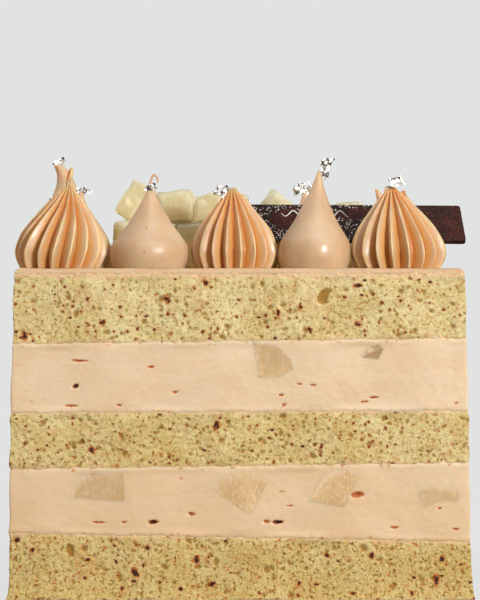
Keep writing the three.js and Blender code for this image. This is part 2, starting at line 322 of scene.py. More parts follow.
def newMaterial(name):
    material = bpy.data.materials.new(name)
    material.use_nodes = True
    shader = material.node_tree.nodes["Principled BSDF"]
    wiring = Wiring(material.node_tree)
    place = wiring.add("ShaderNodeTexCoord").outputs["Object"]
    return material, shader, wiring, place


def newGroup(name, values, output):
    # A group that takes a place and some numbers, and gives one number back.
    tree = bpy.data.node_groups.new(name, "ShaderNodeTree")
    tree.interface.new_socket(name="Vector", in_out="INPUT", socket_type="NodeSocketVector")
    for label, value in values.items():
        socket = tree.interface.new_socket(name=label, in_out="INPUT", socket_type="NodeSocketFloat")
        socket.default_value = value
    tree.interface.new_socket(name=output, in_out="OUTPUT", socket_type="NodeSocketFloat")
    wiring = Wiring(tree)
    entry = wiring.add("NodeGroupInput").outputs
    return tree, wiring, entry, wiring.add("NodeGroupOutput")


def cells(perMetre, share, size, soft, ragged):
    # What the fleck group takes: cells to a metre, the share of them that hold a fleck, how large it is and
    # how soft its edge, both in cells, and how ragged.
    return {"Per Metre": perMetre, "Share": share, "Size": size, "Soft": soft, "Ragged": ragged}


def buildFleckGroup():
    # Scattered specks: some cells of a Voronoi pattern hold one, each of its own size and a ragged outline.
    tree, w, entry, leave = newGroup("scatteredFlecks", cells(500, 0.3, 0.3, 0.1, 0.3), "Mask")
    place, perMetre = entry["Vector"], entry["Per Metre"]
    wobble = w.noiseNode(place, w.math("MULTIPLY", perMetre, 2.5), detail=1.0).outputs["Color"]
    centred = w.vectorMath("SUBTRACT", wobble, (0.5, 0.5, 0.5))
    shift = w.vectorMath("SCALE", centred, w.math("DIVIDE", entry["Ragged"], perMetre))
    pattern = w.add("ShaderNodeTexVoronoi")
    w.putAll(pattern, {"Vector": w.vectorMath("ADD", place, shift), "Scale": perMetre})
    chance = w.add("ShaderNodeSeparateColor")
    w.put(chance, 0, pattern.outputs["Color"])
    present = w.math("LESS_THAN", chance.outputs[0], entry["Share"])
    reach = w.math("MULTIPLY", entry["Size"], w.ramp(chance.outputs[1], 0, 1, 0.35, 1, smooth=False))
    near = w.ramp(pattern.outputs["Distance"], reach, w.math("SUBTRACT", reach, entry["Soft"]))
    w.put(leave, "Mask", w.math("MULTIPLY", near, present))
    return tree


def buildMottleGroup():
    # Slow drift of colour, with a finer one on top.
    tree, w, entry, leave = newGroup("mottle", {"Per Metre": 100, "Fine": 0.4}, "Value")
    place, perMetre = entry["Vector"], entry["Per Metre"]
    slow = w.noiseNode(place, perMetre).outputs["Fac"]
    fine = w.noiseNode(place, w.math("MULTIPLY", perMetre, 7.0), detail=3.0).outputs["Fac"]
    lifted = w.math("MULTIPLY", w.math("SUBTRACT", fine, 0.5), entry["Fine"])
    w.put(leave, "Value", w.ramp(w.math("ADD", slow, lifted), 0.3, 0.7))
    return tree


fleckGroup = buildFleckGroup()
mottleGroup = buildMottleGroup()

spongeLook = {
    "crumbLight": rgb(224, 210, 158),
    "crumb": rgb(207, 187, 126),
    # The warm crumb colour is both a random warm tone and painted shade towards the foot.
    "crumbWarmAndLowShade": rgb(192, 162, 84),
    # The pore colour is painted shade in the air holes.
    "poreShade": rgb(146, 102, 2),
    "tea": rgb(34, 15, 9),
    "teaBrown": rgb(104, 38, 4),
    "stain": rgb(182, 92, 4),
    "smear": rgb(222, 184, 145),
    "grain": rgb(237, 225, 168),
    "drift": {"Per Metre": 110, "Fine": 0.7},
    "pits": cells(520, 0.7, 0.36, 0.08, 0.55),
    "finish": {
        "Roughness": 0.85, "Subsurface Weight": 0.15, "Subsurface Radius": (1.0, 0.75, 0.35),
        "Subsurface Scale": 0.6 * mm,
    },
}
# Tea all through the crumb, from wide pale halos to near-black flecks. Some marks lie aslant, and some are
# stronger beside the cream.
teaMarks = [
    {"cells": cells(300, 0.5, 0.44, 0.38, 0.4), "tint": "stain", "strength": 0.8, "aslant": True},
    {"cells": cells(430, 0.62, 0.44, 0.3, 0.4), "tint": "stain", "strength": 0.75},
    {"cells": cells(560, 0.65, 0.32, 0.12, 0.45), "tint": "stain", "strength": 0.7, "byCream": 1},
    {"cells": cells(430, 0.62, 0.25, 0.07, 0.5), "tint": "teaBrown", "strength": 0.9},
    {"cells": cells(300, 0.5, 0.21, 0.06, 0.45), "tint": "tea", "strength": 1, "aslant": True},
]


def makeSponge():
    material, shader, w, place = newMaterial("teaSponge")
    look = spongeLook
    up = w.part(place, "Z")
    # Painted shade: warmer and darker towards the foot, where less light falls, over warm blotches at random.
    low = w.ramp(up, 0.0, 0.075, 0.6, 0.0, smooth=False)
    airy = w.ramp(up, 0.0, 0.06, 1.0, 0.0, smooth=False)
    colour = w.mix(w.group(mottleGroup, place, look["drift"]), look["crumb"], look["crumbLight"])
    warmAndLowShade = w.math("ADD", low, w.ramp(w.noise(place, 14, detail=3), 0.5, 0.75, 0, 0.4), clamp=True)
    colour = w.mix(warmAndLowShade, colour, look["crumbWarmAndLowShade"])
    # Air: fine grain, pores of two sizes, and the pressed holes, all in painted shade, which is stronger low
    # down and darkest where a pressed hole goes deepest.
    fine = w.ramp(w.noise(place, 0.42, detail=2, roughness=0.6), 0.5, 0.68)
    pores = w.ramp(w.noise(place, 0.95, detail=1.5), 0.59, 0.66)
    pits = w.group(fleckGroup, place, look["pits"])
    colour = w.mix(w.ramp(w.noise(place, 0.36, detail=1), 0.52, 0.66, 0, 0.45), colour, look["grain"])
    colour = w.lay(colour, fine, w.ramp(airy, 0, 1, 0.42, 0.68), look["poreShade"])
    colour = w.lay(colour, pores, w.ramp(airy, 0, 1, 0.45, 0.8), look["poreShade"])
    colour = w.lay(colour, pits, 0.8, look["poreShade"])
    colour = w.mix(w.ramp(w.attribute("poreShade"), 0.05, 0.6, 0, 0.85), colour, look["poreShade"])
    blotches = w.ramp(w.noise(place, 3.2, detail=4, roughness=0.65), 0.52, 0.68, 0, 0.28)
    colour = w.mix(blotches, colour, look["stain"])
    leaned = w.stretch(place, (1, 1, 1.5), turn=(25, 25, 0))
    for mark in teaMarks:
        strength = mark["strength"]
        if "byCream" in mark:
            strength = w.ramp(w.attribute("smear"), 0, 1, strength, mark["byCream"])
        mask = w.group(fleckGroup, leaned if mark.get("aslant") else place, mark["cells"])
        colour = w.lay(colour, mask, strength, look[mark["tint"]])
    # The large flecks that are marked on the mesh, stained round their edges.
    tea = w.attribute("tea")
    marked = w.math("ADD", tea, w.uneven(place, 0.8, 3, 1.3))
    marked = w.math("MULTIPLY", w.ramp(tea, 0, 0.3), marked)
    colour = w.mix(w.ramp(marked, 0.1, 0.65, 0, 0.8), colour, look["stain"])
    steeped = w.mix(w.ramp(w.noise(place, 0.55, 2), 0.5, 0.6), look["tea"], look["teaBrown"])
    colour = w.mix(w.ramp(marked, 0.66, 0.84), colour, steeped)
    # Cream that the knife dragged over the edges of the slab.
    torn = w.uneven(place, 2.6, 5, 2.4, roughness=0.65)
    smear = w.ramp(w.math("ADD", w.attribute("smear"), torn), 0.45, 0.95, 0, 0.75)
    w.put(shader, "Base Color", w.mix(smear, colour, look["smear"]))
    grain = w.noise(place, 0.45, detail=3, roughness=0.6)
    relief = w.math("SUBTRACT", grain, w.math("ADD", pores, pits))
    relief = w.math("MULTIPLY", relief, w.ramp(smear, 0, 1, 1, 0.35))
    w.put(shader, "Normal", w.bump(relief, 0.5, 0.25))
    w.putAll(shader, look["finish"])
    return material


creamLook = {
    "cream": rgb(226, 204, 172),
    "deep": rgb(223, 196, 158),
    "pale": rgb(231, 212, 184),
    # The low colour is painted shade low down; the thin colour is the thin coat over the crumb with painted
    # shade on its rounded top edge.
    "low": rgb(216, 182, 136),
    "thin": rgb(200, 160, 116),
    # The slit colour is painted shade round the air gaps and also the rusty tint of crumbs; the void colour
    # is painted shadow within the gaps.
    "rustyCrumbAndGapShade": rgb(186, 96, 30),
    "gapShadow": rgb(58, 20, 8),
    "crumb": rgb(206, 170, 104),
    "speck": rgb(196, 122, 70),
    "drift": {"Per Metre": 120, "Fine": 0.3},
    "specks": cells(330, 0.3, 0.2, 0.12, 0.7),
    "crumbs": cells(620, 0.8, 0.5, 0.2, 0.6),
    "finish": {
        "Roughness": 0.5, "Subsurface Weight": 0.5, "Subsurface Radius": (1.0, 0.5, 0.25),
        "Subsurface Scale": 1.4 * mm,
    },
}


def makeCream():
    material, shader, w, place = newMaterial("peachCream")
    look = creamLook
    drift = w.group(mottleGroup, w.stretch(place, (0.4, 0.4, 1)), look["drift"])
    colour = w.mix(drift, look["deep"], look["cream"])
    streak = w.noise(w.stretch(place, (0.12, 0.12, 1)), 1.6, detail=4, roughness=0.6)
    colour = w.mix(w.ramp(streak, 0.5, 0.8, 0, 0.4), colour, look["pale"])
    # Painted shade: darker and more orange low down, where less light falls. Browner near the top, where the
    # coat is thin over the crumb, with painted shade on its rounded top edge, which catches the light.
    up = w.part(place, "Z")
    colour = w.mix(w.ramp(up, 0.018, 0.055, 0.5, 0.0, smooth=False), colour, look["low"])
    colour = w.mix(w.ramp(up, 0.0925, 0.0945, 0.0, 0.6), colour, look["thin"])
    specks = w.group(fleckGroup, w.stretch(place, (0.55, 0.55, 1)), look["specks"])
    colour = w.lay(colour, specks, 0.75, look["speck"])
    # Crumb that the knife dragged over the edges of the band.
    torn = w.uneven(place, 3.5, 4, 2.0, roughness=0.65)
    edge = w.ramp(w.math("ADD", w.attribute("smear"), torn), 0.35, 0.95, 0, 0.8)
    crumbs = w.group(fleckGroup, place, look["crumbs"])
    tint = w.mix(w.ramp(w.noise(place, 0.9, 2), 0.5, 0.58), look["crumb"], look["rustyCrumbAndGapShade"])
    colour = w.lay(colour, crumbs, edge, tint)
    # Air gaps in painted shade: rusty round their edges and dark within.
    poreShade = w.attribute("poreShade")
    gap = w.math("ADD", poreShade, w.uneven(place, 0.8, 3, w.ramp(poreShade, 0, 0.2, 0, 0.9)))
    colour = w.mix(w.ramp(gap, 0.06, 0.3), colour, look["rustyCrumbAndGapShade"])
    colour = w.mix(w.ramp(gap, 0.42, 0.68), colour, look["gapShadow"])
    w.put(shader, "Base Color", colour)
    fine = w.noise(w.stretch(place, (0.3, 0.3, 1)), 0.9, detail=4, roughness=0.6)
    w.put(shader, "Normal", w.bump(fine, 0.2, 0.2))
    w.putAll(shader, look["finish"])
    return material


pipingLook = {
    "piping": rgb(201, 169, 132),
    "pale": rgb(210, 182, 146),
    # The next three are painted light: a highlight along each ridge, shade down the flanks, and the deepest
    # shade in the grooves.
    "ridgeHighlight": rgb(228, 198, 149),
    "flankShade": rgb(212, 160, 96),
    "deep": rgb(203, 122, 50),
    "mark": rgb(186, 84, 40),
    "drift": {"Per Metre": 130, "Fine": 0.2},
    "finish": {"Subsurface Weight": 0.65, "Coat Weight": 0.4, "Coat Roughness": 0.45},
}
# Light spreads less far in the ribs than in the plain drops.
pipingKinds = {
    "pipedCream": {"ribbed": False, "Subsurface Radius": (1.0, 0.34, 0.12), "Subsurface Scale": 4.5 * mm},
    "ribbedCream": {"ribbed": True, "Subsurface Radius": (1.0, 0.42, 0.16), "Subsurface Scale": 1.5 * mm},
}
# Small marks in the second piece: place and radius, in millimetres.
pipingMarks = [((-27.1, -58.6, 107.3), 0.55), ((-27.5, -62.6, 100.1), 0.45)]


def makePiping(name):
    material, shader, w, place = newMaterial(name)
    look = pipingLook
    spread = dict(pipingKinds[name])
    colour = w.mix(w.group(mottleGroup, place, look["drift"]), look["piping"], look["pale"])
    if spread.pop("ribbed"):
        # Painted light on the ribs: a painted highlight on the ridges, and painted shade down the flanks and
        # in the grooves.
        groove = w.attribute("groove")
        colour = w.mix(w.ramp(groove, 0.0, 0.1), look["ridgeHighlight"], colour)
        colour = w.mix(w.ramp(groove, 0.1, 0.55), colour, look["flankShade"])
        colour = w.mix(w.ramp(groove, 0.62, 1.0), colour, look["deep"])
    else:
        for spot, size in pipingMarks:
            away = w.vectorMath("DISTANCE", place, [part * mm for part in spot])
            colour = w.mix(w.ramp(away, size * mm, 0.4 * size * mm, 0, 0.75), colour, look["mark"])
    w.put(shader, "Base Color", colour)
    skin = w.noise(w.stretch(place, (0.5, 0.5, 1)), 0.8, detail=3, roughness=0.6)
    w.put(shader, "Normal", w.bump(skin, 0.12, 0.15))
    w.put(shader, "Roughness", w.ramp(w.noise(place, 3), 0.3, 0.7, 0.3, 0.42))
    w.putAll(shader, {**look["finish"], **spread})
    return material


pearFinish = {"IOR": 1.37, "Subsurface Weight": 0.9}
pearLooks = {
    "dicedPear": {
        "flesh": rgb(236, 232, 208),
        "ripe": rgb(228, 221, 184),
        "pale": rgb(244, 243, 228),
        # The low and fade colours on the heap are painted light: a golden glow low in the heap and shade
        # towards each piece's foot.
        "low": rgb(250, 214, 130),
        "fade": rgb(230, 204, 138),
        "roughness": (0.35, 0.45),
        "grain": 0.35,
        "fibre": {"size": 0.8, "scale": (0.35, 1, 1)},
        "finish": {
            "Transmission Weight": 0.35, "Subsurface Radius": (1.0, 0.93, 0.65), "Subsurface Scale": 7 * mm,
            **pearFinish,
        },
    },
    "pearInCream": {
        "flesh": rgb(220, 192, 150),
        "ripe": rgb(208, 176, 128),
        "pale": rgb(232, 210, 174),
        "low": rgb(174, 144, 104),
        "fade": rgb(230, 205, 170),
        "roughness": (0.35, 0.5),
        "grain": 0.8,
        "fibre": {"size": 0.5, "scale": (1, 1, 0.35)},
        "finish": {"Subsurface Radius": (1.0, 0.85, 0.45), "Subsurface Scale": 1.2 * mm, **pearFinish},
    },
}
pearDrift = {"Per Metre": 120, "Fine": 0.4}


def makePear(name):
    material, shader, w, place = newMaterial(name)
    look = pearLooks[name]
    colour = w.mix(w.group(mottleGroup, place, pearDrift), look["flesh"], look["ripe"])
    along = w.stretch(place, look["fibre"]["scale"], turn=(0, 30, 20))
    grain = w.noise(along, look["fibre"]["size"], detail=4, roughness=0.65)
    colour = w.mix(w.ramp(grain, 0.48, 0.68, 0, look["grain"]), colour, look["pale"])
    # On the heap, tone and fade are painted light: a golden glow low in the heap and shade towards each
    # piece's foot. In the cream, tone is how dull a piece is and fade is the veil of cream on it.
    colour = w.mix(w.attribute("tone"), colour, look["low"])
    colour = w.mix(w.attribute("fade"), colour, look["fade"])
    w.put(shader, "Base Color", colour)
    w.put(shader, "Normal", w.bump(grain, 0.08, 0.2))
    w.put(shader, "Roughness", w.ramp(grain, 0.3, 0.7, *look["roughness"]))
    w.putAll(shader, look["finish"])
    return material


chocolateLook = {
    "cocoa": rgb(66, 25, 17),
    "dark": rgb(37, 15, 10),
    # The black colour is painted shadow, and the glint colour painted glints.
    "shadowBlack": rgb(24, 10, 8),
    "dust": rgb(132, 86, 66),
    "glint": rgb(226, 214, 206),
    "drift": {"Per Metre": 260, "Fine": 1.2},
    "dustCells": cells(1500, 0.6, 0.46, 0.16, 0.4),
    "glintCells": cells(1500, 0.9, 0.52, 0.16, 0.4),
    "shadowTo": (0.046, 0.036),  # the painted shadow patches end here, across the cake in metres
    "finish": {"Specular IOR Level": 0.15},
}


def makeChocolate():
    material, shader, w, place = newMaterial("darkChocolate")
    look = chocolateLook
    colour = w.mix(w.group(mottleGroup, place, look["drift"]), look["dark"], look["cocoa"])
    # Painted shadow: near-black patches over all but the right end, where the piping in front casts its
    # shadow, with painted glints in them.
    shadowNoise = w.ramp(w.noise(place, 11, detail=2), 0.36, 0.5)
    shadowPatches = w.math("MULTIPLY", shadowNoise, w.ramp(w.part(place, "X"), *look["shadowTo"]))
    colour = w.lay(colour, shadowPatches, 0.75, look["shadowBlack"])
    colour = w.lay(colour, w.group(fleckGroup, place, look["dustCells"]), 0.3, look["dust"])
    glints = w.ramp(shadowPatches, 0, 0.8, 0.03, 1)
    colour = w.lay(colour, w.group(fleckGroup, place, look["glintCells"]), glints, look["glint"])
    w.put(shader, "Base Color", colour)
    grain = w.noise(place, 0.5, detail=4, roughness=0.7)
    w.put(shader, "Normal", w.bump(grain, 0.5, 0.2))
    w.put(shader, "Roughness", w.ramp(grain, 0.35, 0.65, 0.4, 0.65))
    w.putAll(shader, look["finish"])
    return material


silverLook = {
    # The fold colour is painted shade in the creases of the leaf.
    "foldShade": (0.3, 0.27, 0.23, 1),
    "face": (0.9, 0.89, 0.87, 1),
    "finish": {"Metallic": 1.0, "Roughness": 0.3},
}


def makeSilver():
    material, shader, w, place = newMaterial("silverLeaf")
    look = silverLook
    # Painted shade in the folds: darker silver in patches of noise.
    foldShadeMask = w.ramp(w.noise(place, 1.1, detail=3, roughness=0.6), 0.42, 0.56)
    w.put(shader, "Base Color", w.mix(foldShadeMask, look["foldShade"], look["face"]))
    w.put(shader, "Normal", w.bump(w.noise(place, 0.9, detail=1), 0.3, 0.25))
    w.putAll(shader, look["finish"])
    return material


icingLook = {
    "shaded": rgb(214, 208, 204),
    "white": rgb(244, 242, 240),
    "drift": {"Per Metre": 600, "Fine": 0.3},
    "finish": {"Roughness": 0.4},
}


def makeIcing():
    material, shader, w, place = newMaterial("whiteIcing")
    look = icingLook
    drift = w.group(mottleGroup, place, look["drift"])
    w.put(shader, "Base Color", w.mix(drift, look["shaded"], look["white"]))
    w.putAll(shader, look["finish"])
    return material


spongeMaterial = makeSponge()
creamMaterial = makeCream()
pipingMaterials = {"drop": makePiping("pipedCream"), "star": makePiping("ribbedCream")}
pearMaterial = makePear("dicedPear")
cutPearMaterial = makePear("pearInCream")
chocolateMaterial = makeChocolate()
silverMaterial = makeSilver()
icingMaterial = makeIcing()
print("materials made")


def halfSideAt(z):
    lean = (cake["bodySide"] - cake["topSide"]) / 2
    crumb = (cake["footSide"] - cake["bodySide"]) / 2
    spread = np.maximum(0, 1 - z / cake["footHeight"]) ** 2
    leant = np.minimum(1, cake["leanRate"] * (1 - z / cake["topZ"]))
    return cake["topSide"] / 2 + lean * leant + crumb * spread


def trimWave(x, y, z, phase):
    # The knife's waver along a side, between -1 and 1.
    around = np.where(np.abs(x) > np.abs(y), y, x)
    return np.sin(around * 0.21 + phase) * 0.6 + np.sin(around * 0.13 - z * 0.35 + 2 * phase) * 0.4


def seamHeight(seam, x, y):
    z, acrossX, acrossY = seams[seam]
    return z + acrossX * x + acrossY * y


def boxOfGrids(name, acrossCells, upCells):
    # Four upright grids round a square of half side 1 and height 1, closed with a framed face at each end.
    deselectAll()
    bpy.ops.mesh.primitive_grid_add(
        x_subdivisions=acrossCells, y_subdivisions=upCells, size=2, location=(0, -1, 0.5),
        rotation=(math.pi / 2, 0, 0),
    )
    box = named(name)
    placeInMesh(box)
    editAll(box)
    bpy.ops.transform.resize(value=(1, 1, 0.5), center_override=(0, -1, 0.5))
    for _ in range(3):
        bpy.ops.mesh.duplicate()
        bpy.ops.transform.rotate(value=math.pi / 2, orient_axis="Z", center_override=(0, 0, 0))
    bpy.ops.mesh.select_all(action="SELECT")
    bpy.ops.mesh.remove_doubles(threshold=0.2 / acrossCells)
    bpy.ops.mesh.select_all(action="DESELECT")
    bpy.ops.mesh.select_mode(type="EDGE")
    bpy.ops.mesh.select_non_manifold()
    bpy.ops.mesh.edge_face_add()
    leaveEdit()
    return box


def outwards(co):
    # Unit steps out of the sides, zero inside the two end faces.
    side = np.abs(co[:, :2]) > 1 - 1e-4
    return np.sign(co[:, :2]) * side


pitShape = {
    "fullness": 0.6,  # the power that gives a pit its round floor
    "lobes": (0.3, 0.14),  # how far two and three waves round it shape its outline
    "markReach": 2.5,  # how far a mark's colour goes, as the square of its radius
    "markFade": 0.4,
}


def pressPits(co, out, pits, marks, ragged):
    # Pushes dimples into the sides: each pit is (side, along, z, radius along, radius up, depth), in
    # millimetres. A mark is the same without a depth, and colours the points near it.
    tree = treeOf(list(enumerate(co)))
    turns = {"front": (1, 0), "right": (0, 1), "back": (-1, 0), "left": (0, -1)}
    pressed, depth, marked = np.zeros(len(co)), np.zeros(len(co)), np.zeros(len(co))
    twoLobes, threeLobes = pitShape["lobes"]
    for side, along, z, wide, tall, deep in pits + [mark + (0,) for mark in marks]:
        c, s = turns[side]
        half = float(halfSideAt(z))
        x, y = along * c + half * s, along * s - half * c
        for p, i, _ in tree.find_range((x, y, z), max(wide, tall) * 2):
            across = ((p[0] - x) * c + (p[1] - y) * s) / wide
            up = (p[2] - z) / tall
            turn = math.atan2(up, across)
            lobes = twoLobes * math.sin(2 * turn + 9 * x) + threeLobes * math.sin(3 * turn + 5 * z)
            away = (across * across + up * up) * (1 + ragged * lobes)
            if deep and away < 1:
                share = (1 - away) ** pitShape["fullness"]
                pressed[i] = max(pressed[i], share * deep)
                depth[i] = max(depth[i], share * min(1, deep))
            elif not deep and away < pitShape["markReach"]:
                marked[i] = max(marked[i], 1 - pitShape["markFade"] * away)
    co[:, :2] -= out * pressed[:, None]
    return depth, marked


def raggedEdge(x, y, phase):
    # An uneven line round the cake, between -1 and 1: where the cream ends over the crumb.
    u = np.where(np.abs(x) > np.abs(y), y + 200 * np.sign(x), x + 90 * np.sign(y))
    waves = ((0.31, 0.3), (0.83, 0.3), (1.9, 0.25), (4.1, 0.15))
    return sum(size * np.sin(u * rate + phase * (i + 2)) for i, (rate, size) in enumerate(waves))


def weighPoints(piece, name, weights):
    # A vertex group from an array of weights, in eight steps.
    steps = 8
    group = piece.vertex_groups.new(name=name)
    stepOf = np.round(weights * steps).astype(int)
    for step in range(1, steps + 1):
        group.add([int(i) for i in np.nonzero(stepOf == step)[0]], step / steps, "REPLACE")


# What the slabs share, in millimetres.
slabShape = {
    "reach": 66,  # half the side, where a seam's height is read
    "flush": 2.2,  # over this height a layer comes flush with its neighbour
    "uneven": 0.7,  # how much the lap over a neighbour varies
    "edgePhases": (1.3, 2.9),  # of the lower and the upper edge
    "dipPower": 1.5,
    "noSeam": 99,  # how far off a seam is at the foot and the top
}


def slab(name, lower, upper, values):
    piece = boxOfGrids(name, *values["cells"])
    mesh = piece.data
    unit = points(mesh)
    out = outwards(unit)
    x, y = unit[:, 0] * slabShape["reach"], unit[:, 1] * slabShape["reach"]
    onFoot, onTop = lower == "foot", upper == "top"
    noSeam = slabShape["noSeam"]

    def lap(over, phase):
        return over * (1 + slabShape["uneven"] * raggedEdge(x, y, phase))

    # It laps over both seams by a varying amount.
    bottom, top = seamHeight(lower, x, y), seamHeight(upper, x, y)
    low = bottom - (0 if onFoot else lap(values["overlap"][0], slabShape["edgePhases"][0]))
    high = top + (0 if onTop else lap(values["overlap"][1], slabShape["edgePhases"][1]))
    z = low + (high - low) * unit[:, 2]
    # Towards its seams a layer comes flush with its neighbour.
    near = np.minimum(noSeam if onFoot else z - bottom, noSeam if onTop else top - z)
    free = np.clip(near / slabShape["flush"], 0, 1)
    free = free * free * (3 - 2 * free)
    # The last of a layer's rim dips in behind its neighbour's face, so that the two run together.
    rim = np.minimum(noSeam if onFoot else z - low, noSeam if onTop else high - z)
    dipDepth, dipHeight = values["dip"]
    dip = dipDepth * np.maximum(0, 1 - rim / dipHeight) ** slabShape["dipPower"]
    still = (unit[:, 2] < 1e-4) & onFoot
    wave = (values["wave"] * trimWave(x, y, z, values["phase"]) + values["proud"]) * free
    rounded = values["rounding"] * (1 - np.sqrt(np.maximum(0, 1 - unit[:, 2] * unit[:, 2])))
    half = halfSideAt(z) + np.where(still, 0, wave + values["lip"] * (1 - free) - dip) - rounded
    co = np.column_stack([unit[:, 0] * half, unit[:, 1] * half, z])
    depth, marked = pressPits(co, out, values["pits"], values["marks"], values["ragged"])
    movePoints(mesh, co * mm)
    # The pits' depth, coloured as painted shade in the sponge and the cream.
    storeOnPoints(mesh, "poreShade", depth)
    storeOnPoints(mesh, "tea", marked)
    storeOnPoints(mesh, "smear", np.clip(1 - near / values["smear"], 0, 1))
    side = (np.abs(out).sum(1) > 0) & ~still
    weighPoints(piece, "wholeSide", side * 1.0)
    weighPoints(piece, "freeSide", side * free)
    for size, strength, where in values["relief"]:
        addRelief(piece, size, strength, 2, vertex_group=where)
    applyModifiers(piece)
    smoothShade(piece)
    return piece


# For each slab: how far its side wavers and stands proud, how far it swells at the seams, how far it laps
# over the lower and the upper seam, how deep and how high its rim dips in, over what height it is smeared,
# how far its top edge is rounded off, and how ragged its pits are.
spongeValues = {
    "cells": (372, 55), "wave": 0.5, "proud": 0, "lip": 0, "overlap": (0.2, 0.2), "dip": (0.4, 1.0),
    "smear": 2, "relief": [(7, 0.6, "freeSide"), (1.3, 0.5, "wholeSide")], "rounding": 0, "ragged": 1,
}
creamValues = {
    "cells": (260, 84), "wave": 0.3, "proud": -0.05, "lip": 0.1, "overlap": (0.7, 0.7), "dip": (0.5, 1.2),
    "smear": 1.5, "relief": [(9, 0.35, "freeSide"), (1.6, 0.12, "wholeSide")], "rounding": 0, "ragged": 0.8,
    "marks": [],
}
topCoat = {
    **creamValues, "cells": (372, 14), "wave": 0.25, "proud": 0.02, "overlap": (-0.1, 0), "phase": 5,
    "pits": [], "relief": [(9, 0.35, "freeSide"), (1.1, 0.3, "wholeSide")], "rounding": 1.7,
}

# Air holes in the crumb, over all four sides, small ones by far the most common.
crumbAir = {
    "count": 1300,
    "radius": (0.35, 1.15),
    "rarity": 7,  # the power that keeps the large ones few
    "flatness": (0.7, 1.1),
    "depth": (0.25, 0.6),
    "reach": 65,  # along a side, from its middle
    "clear": 1.2,  # of the seams
}


def between(limits, share):
    return limits[0] + (limits[1] - limits[0]) * share


def scatterPits(seed, lower, upper):
    draw = random.Random(seed)
    pits = []
    low, high = seams[lower][0] + crumbAir["clear"], seams[upper][0] - crumbAir["clear"]
    for _ in range(crumbAir["count"]):
        side = draw.choice(list(sidesOfCake))
        along = draw.uniform(-crumbAir["reach"], crumbAir["reach"])
        radius = between(crumbAir["radius"], draw.random() ** crumbAir["rarity"])
        tall = radius * draw.uniform(*crumbAir["flatness"])
        deep = between(crumbAir["depth"], radius / crumbAir["radius"][1])
        pits.append((side, along, draw.uniform(low, high), radius, tall, deep))
    return pits


# The largest holes and tea flecks on the front: place along, height, half width, half height.
frontHoleDepth = 0.9
frontHoles = {
    "sponge_top": [(24.1, 87.1, 1.8, 2.5)],
    "sponge_middle": [(-45.6, 45.2, 1.1, 0.9)],
    "sponge_bottom": [(-48.8, 14.4, 1.3, 1.8)],
}
frontFlecks = {
    "sponge_top": [
        (-20.9, 86.3, 1, 1), (-62, 76.1, 1, 1), (-39.5, 79.7, 0.9, 0.8), (34, 90.4, 1.2, 0.6),
        (11.2, 82.4, 0.6, 1.2), (17.6, 84, 0.6, 0.7), (34.1, 79.3, 0.9, 0.9), (20.3, 77.5, 0.7, 0.8),
        (-9.8, 91.1, 0.8, 0.8),
    ],
    "sponge_middle": [(-6.6, 50.2, 0.9, 1.2), (-42.6, 43, 0.9, 0.9), (23.5, 44, 0.5, 0.8)],
    "sponge_bottom": [
        (-63.9, 17.3, 0.8, 0.9), (58.3, 11.8, 0.8, 0.9), (56.7, 5.8, 1, 1.3), (-59.7, 14.2, 0.8, 0.6),
        (-35.6, 11, 0.5, 0.5), (-43.7, 11.4, 0.9, 0.4), (-30, 7.9, 1.1, 1.3), (-27.7, 9.9, 0.5, 0.6),
        (-33.7, 3.2, 0.5, 0.7), (-12.4, 11.6, 1.1, 1), (-16.9, 3.1, 0.6, 0.6), (-7.9, 4.4, 0.9, 0.9),
        (25.1, 12.7, 0.8, 0.7), (38, 12.6, 0.8, 0.9), (17.1, 4.6, 0.6, 0.7), (22.1, 4.4, 0.8, 0.4),
        (32.7, 1.9, 0.8, 0.6), (49.6, 1.9, 0.6, 0.7), (-26.4, 14.9, 0.9, 0.6), (16.9, 1.2, 0.7, 0.5),
    ],
}
# A few large flecks for each of the other sides.
otherFlecks = {"count": 8, "reach": 60, "radius": (0.5, 1.1), "clear": 2}


def strewFlecks(seed, lower, upper):
    draw = random.Random(seed)
    reach, radius = otherFlecks["reach"], otherFlecks["radius"]
    low, high = seams[lower][0] + otherFlecks["clear"], seams[upper][0] - otherFlecks["clear"]
    return [
        (
            side, draw.uniform(-reach, reach), draw.uniform(low, high), draw.uniform(*radius),
            draw.uniform(*radius),
        )
        for side in sidesOutOfSight
        for _ in range(otherFlecks["count"])
    ]


# Node, the seams below and above it, the phase of its waver, and its seeds.
spongeLayers = [
    ("sponge_bottom", "foot", "lowerSponge", 0.4, 11, 61),
    ("sponge_middle", "lowerCream", "middleSponge", 2.1, 12, 62),
    ("sponge_top", "upperCream", "upperSponge", 4.4, 13, 63),
]
for node, lower, upper, phase, pitSeed, fleckSeed in spongeLayers:
    pits = scatterPits(pitSeed, lower, upper)
    pits += [("front",) + hole + (frontHoleDepth,) for hole in frontHoles[node]]
    large = [("front",) + fleck for fleck in frontFlecks[node]] + strewFlecks(fleckSeed, lower, upper)
    values = {**spongeValues, "phase": phase, "pits": pits, "marks": large}
    if node == "sponge_top":
        values["overlap"] = (0.2, 1)  # up behind the thin coat
    piece = slab(node + "_crumb", lower, upper, values)
    standFor(piece, node, spongeMaterial)
print("sponges made")

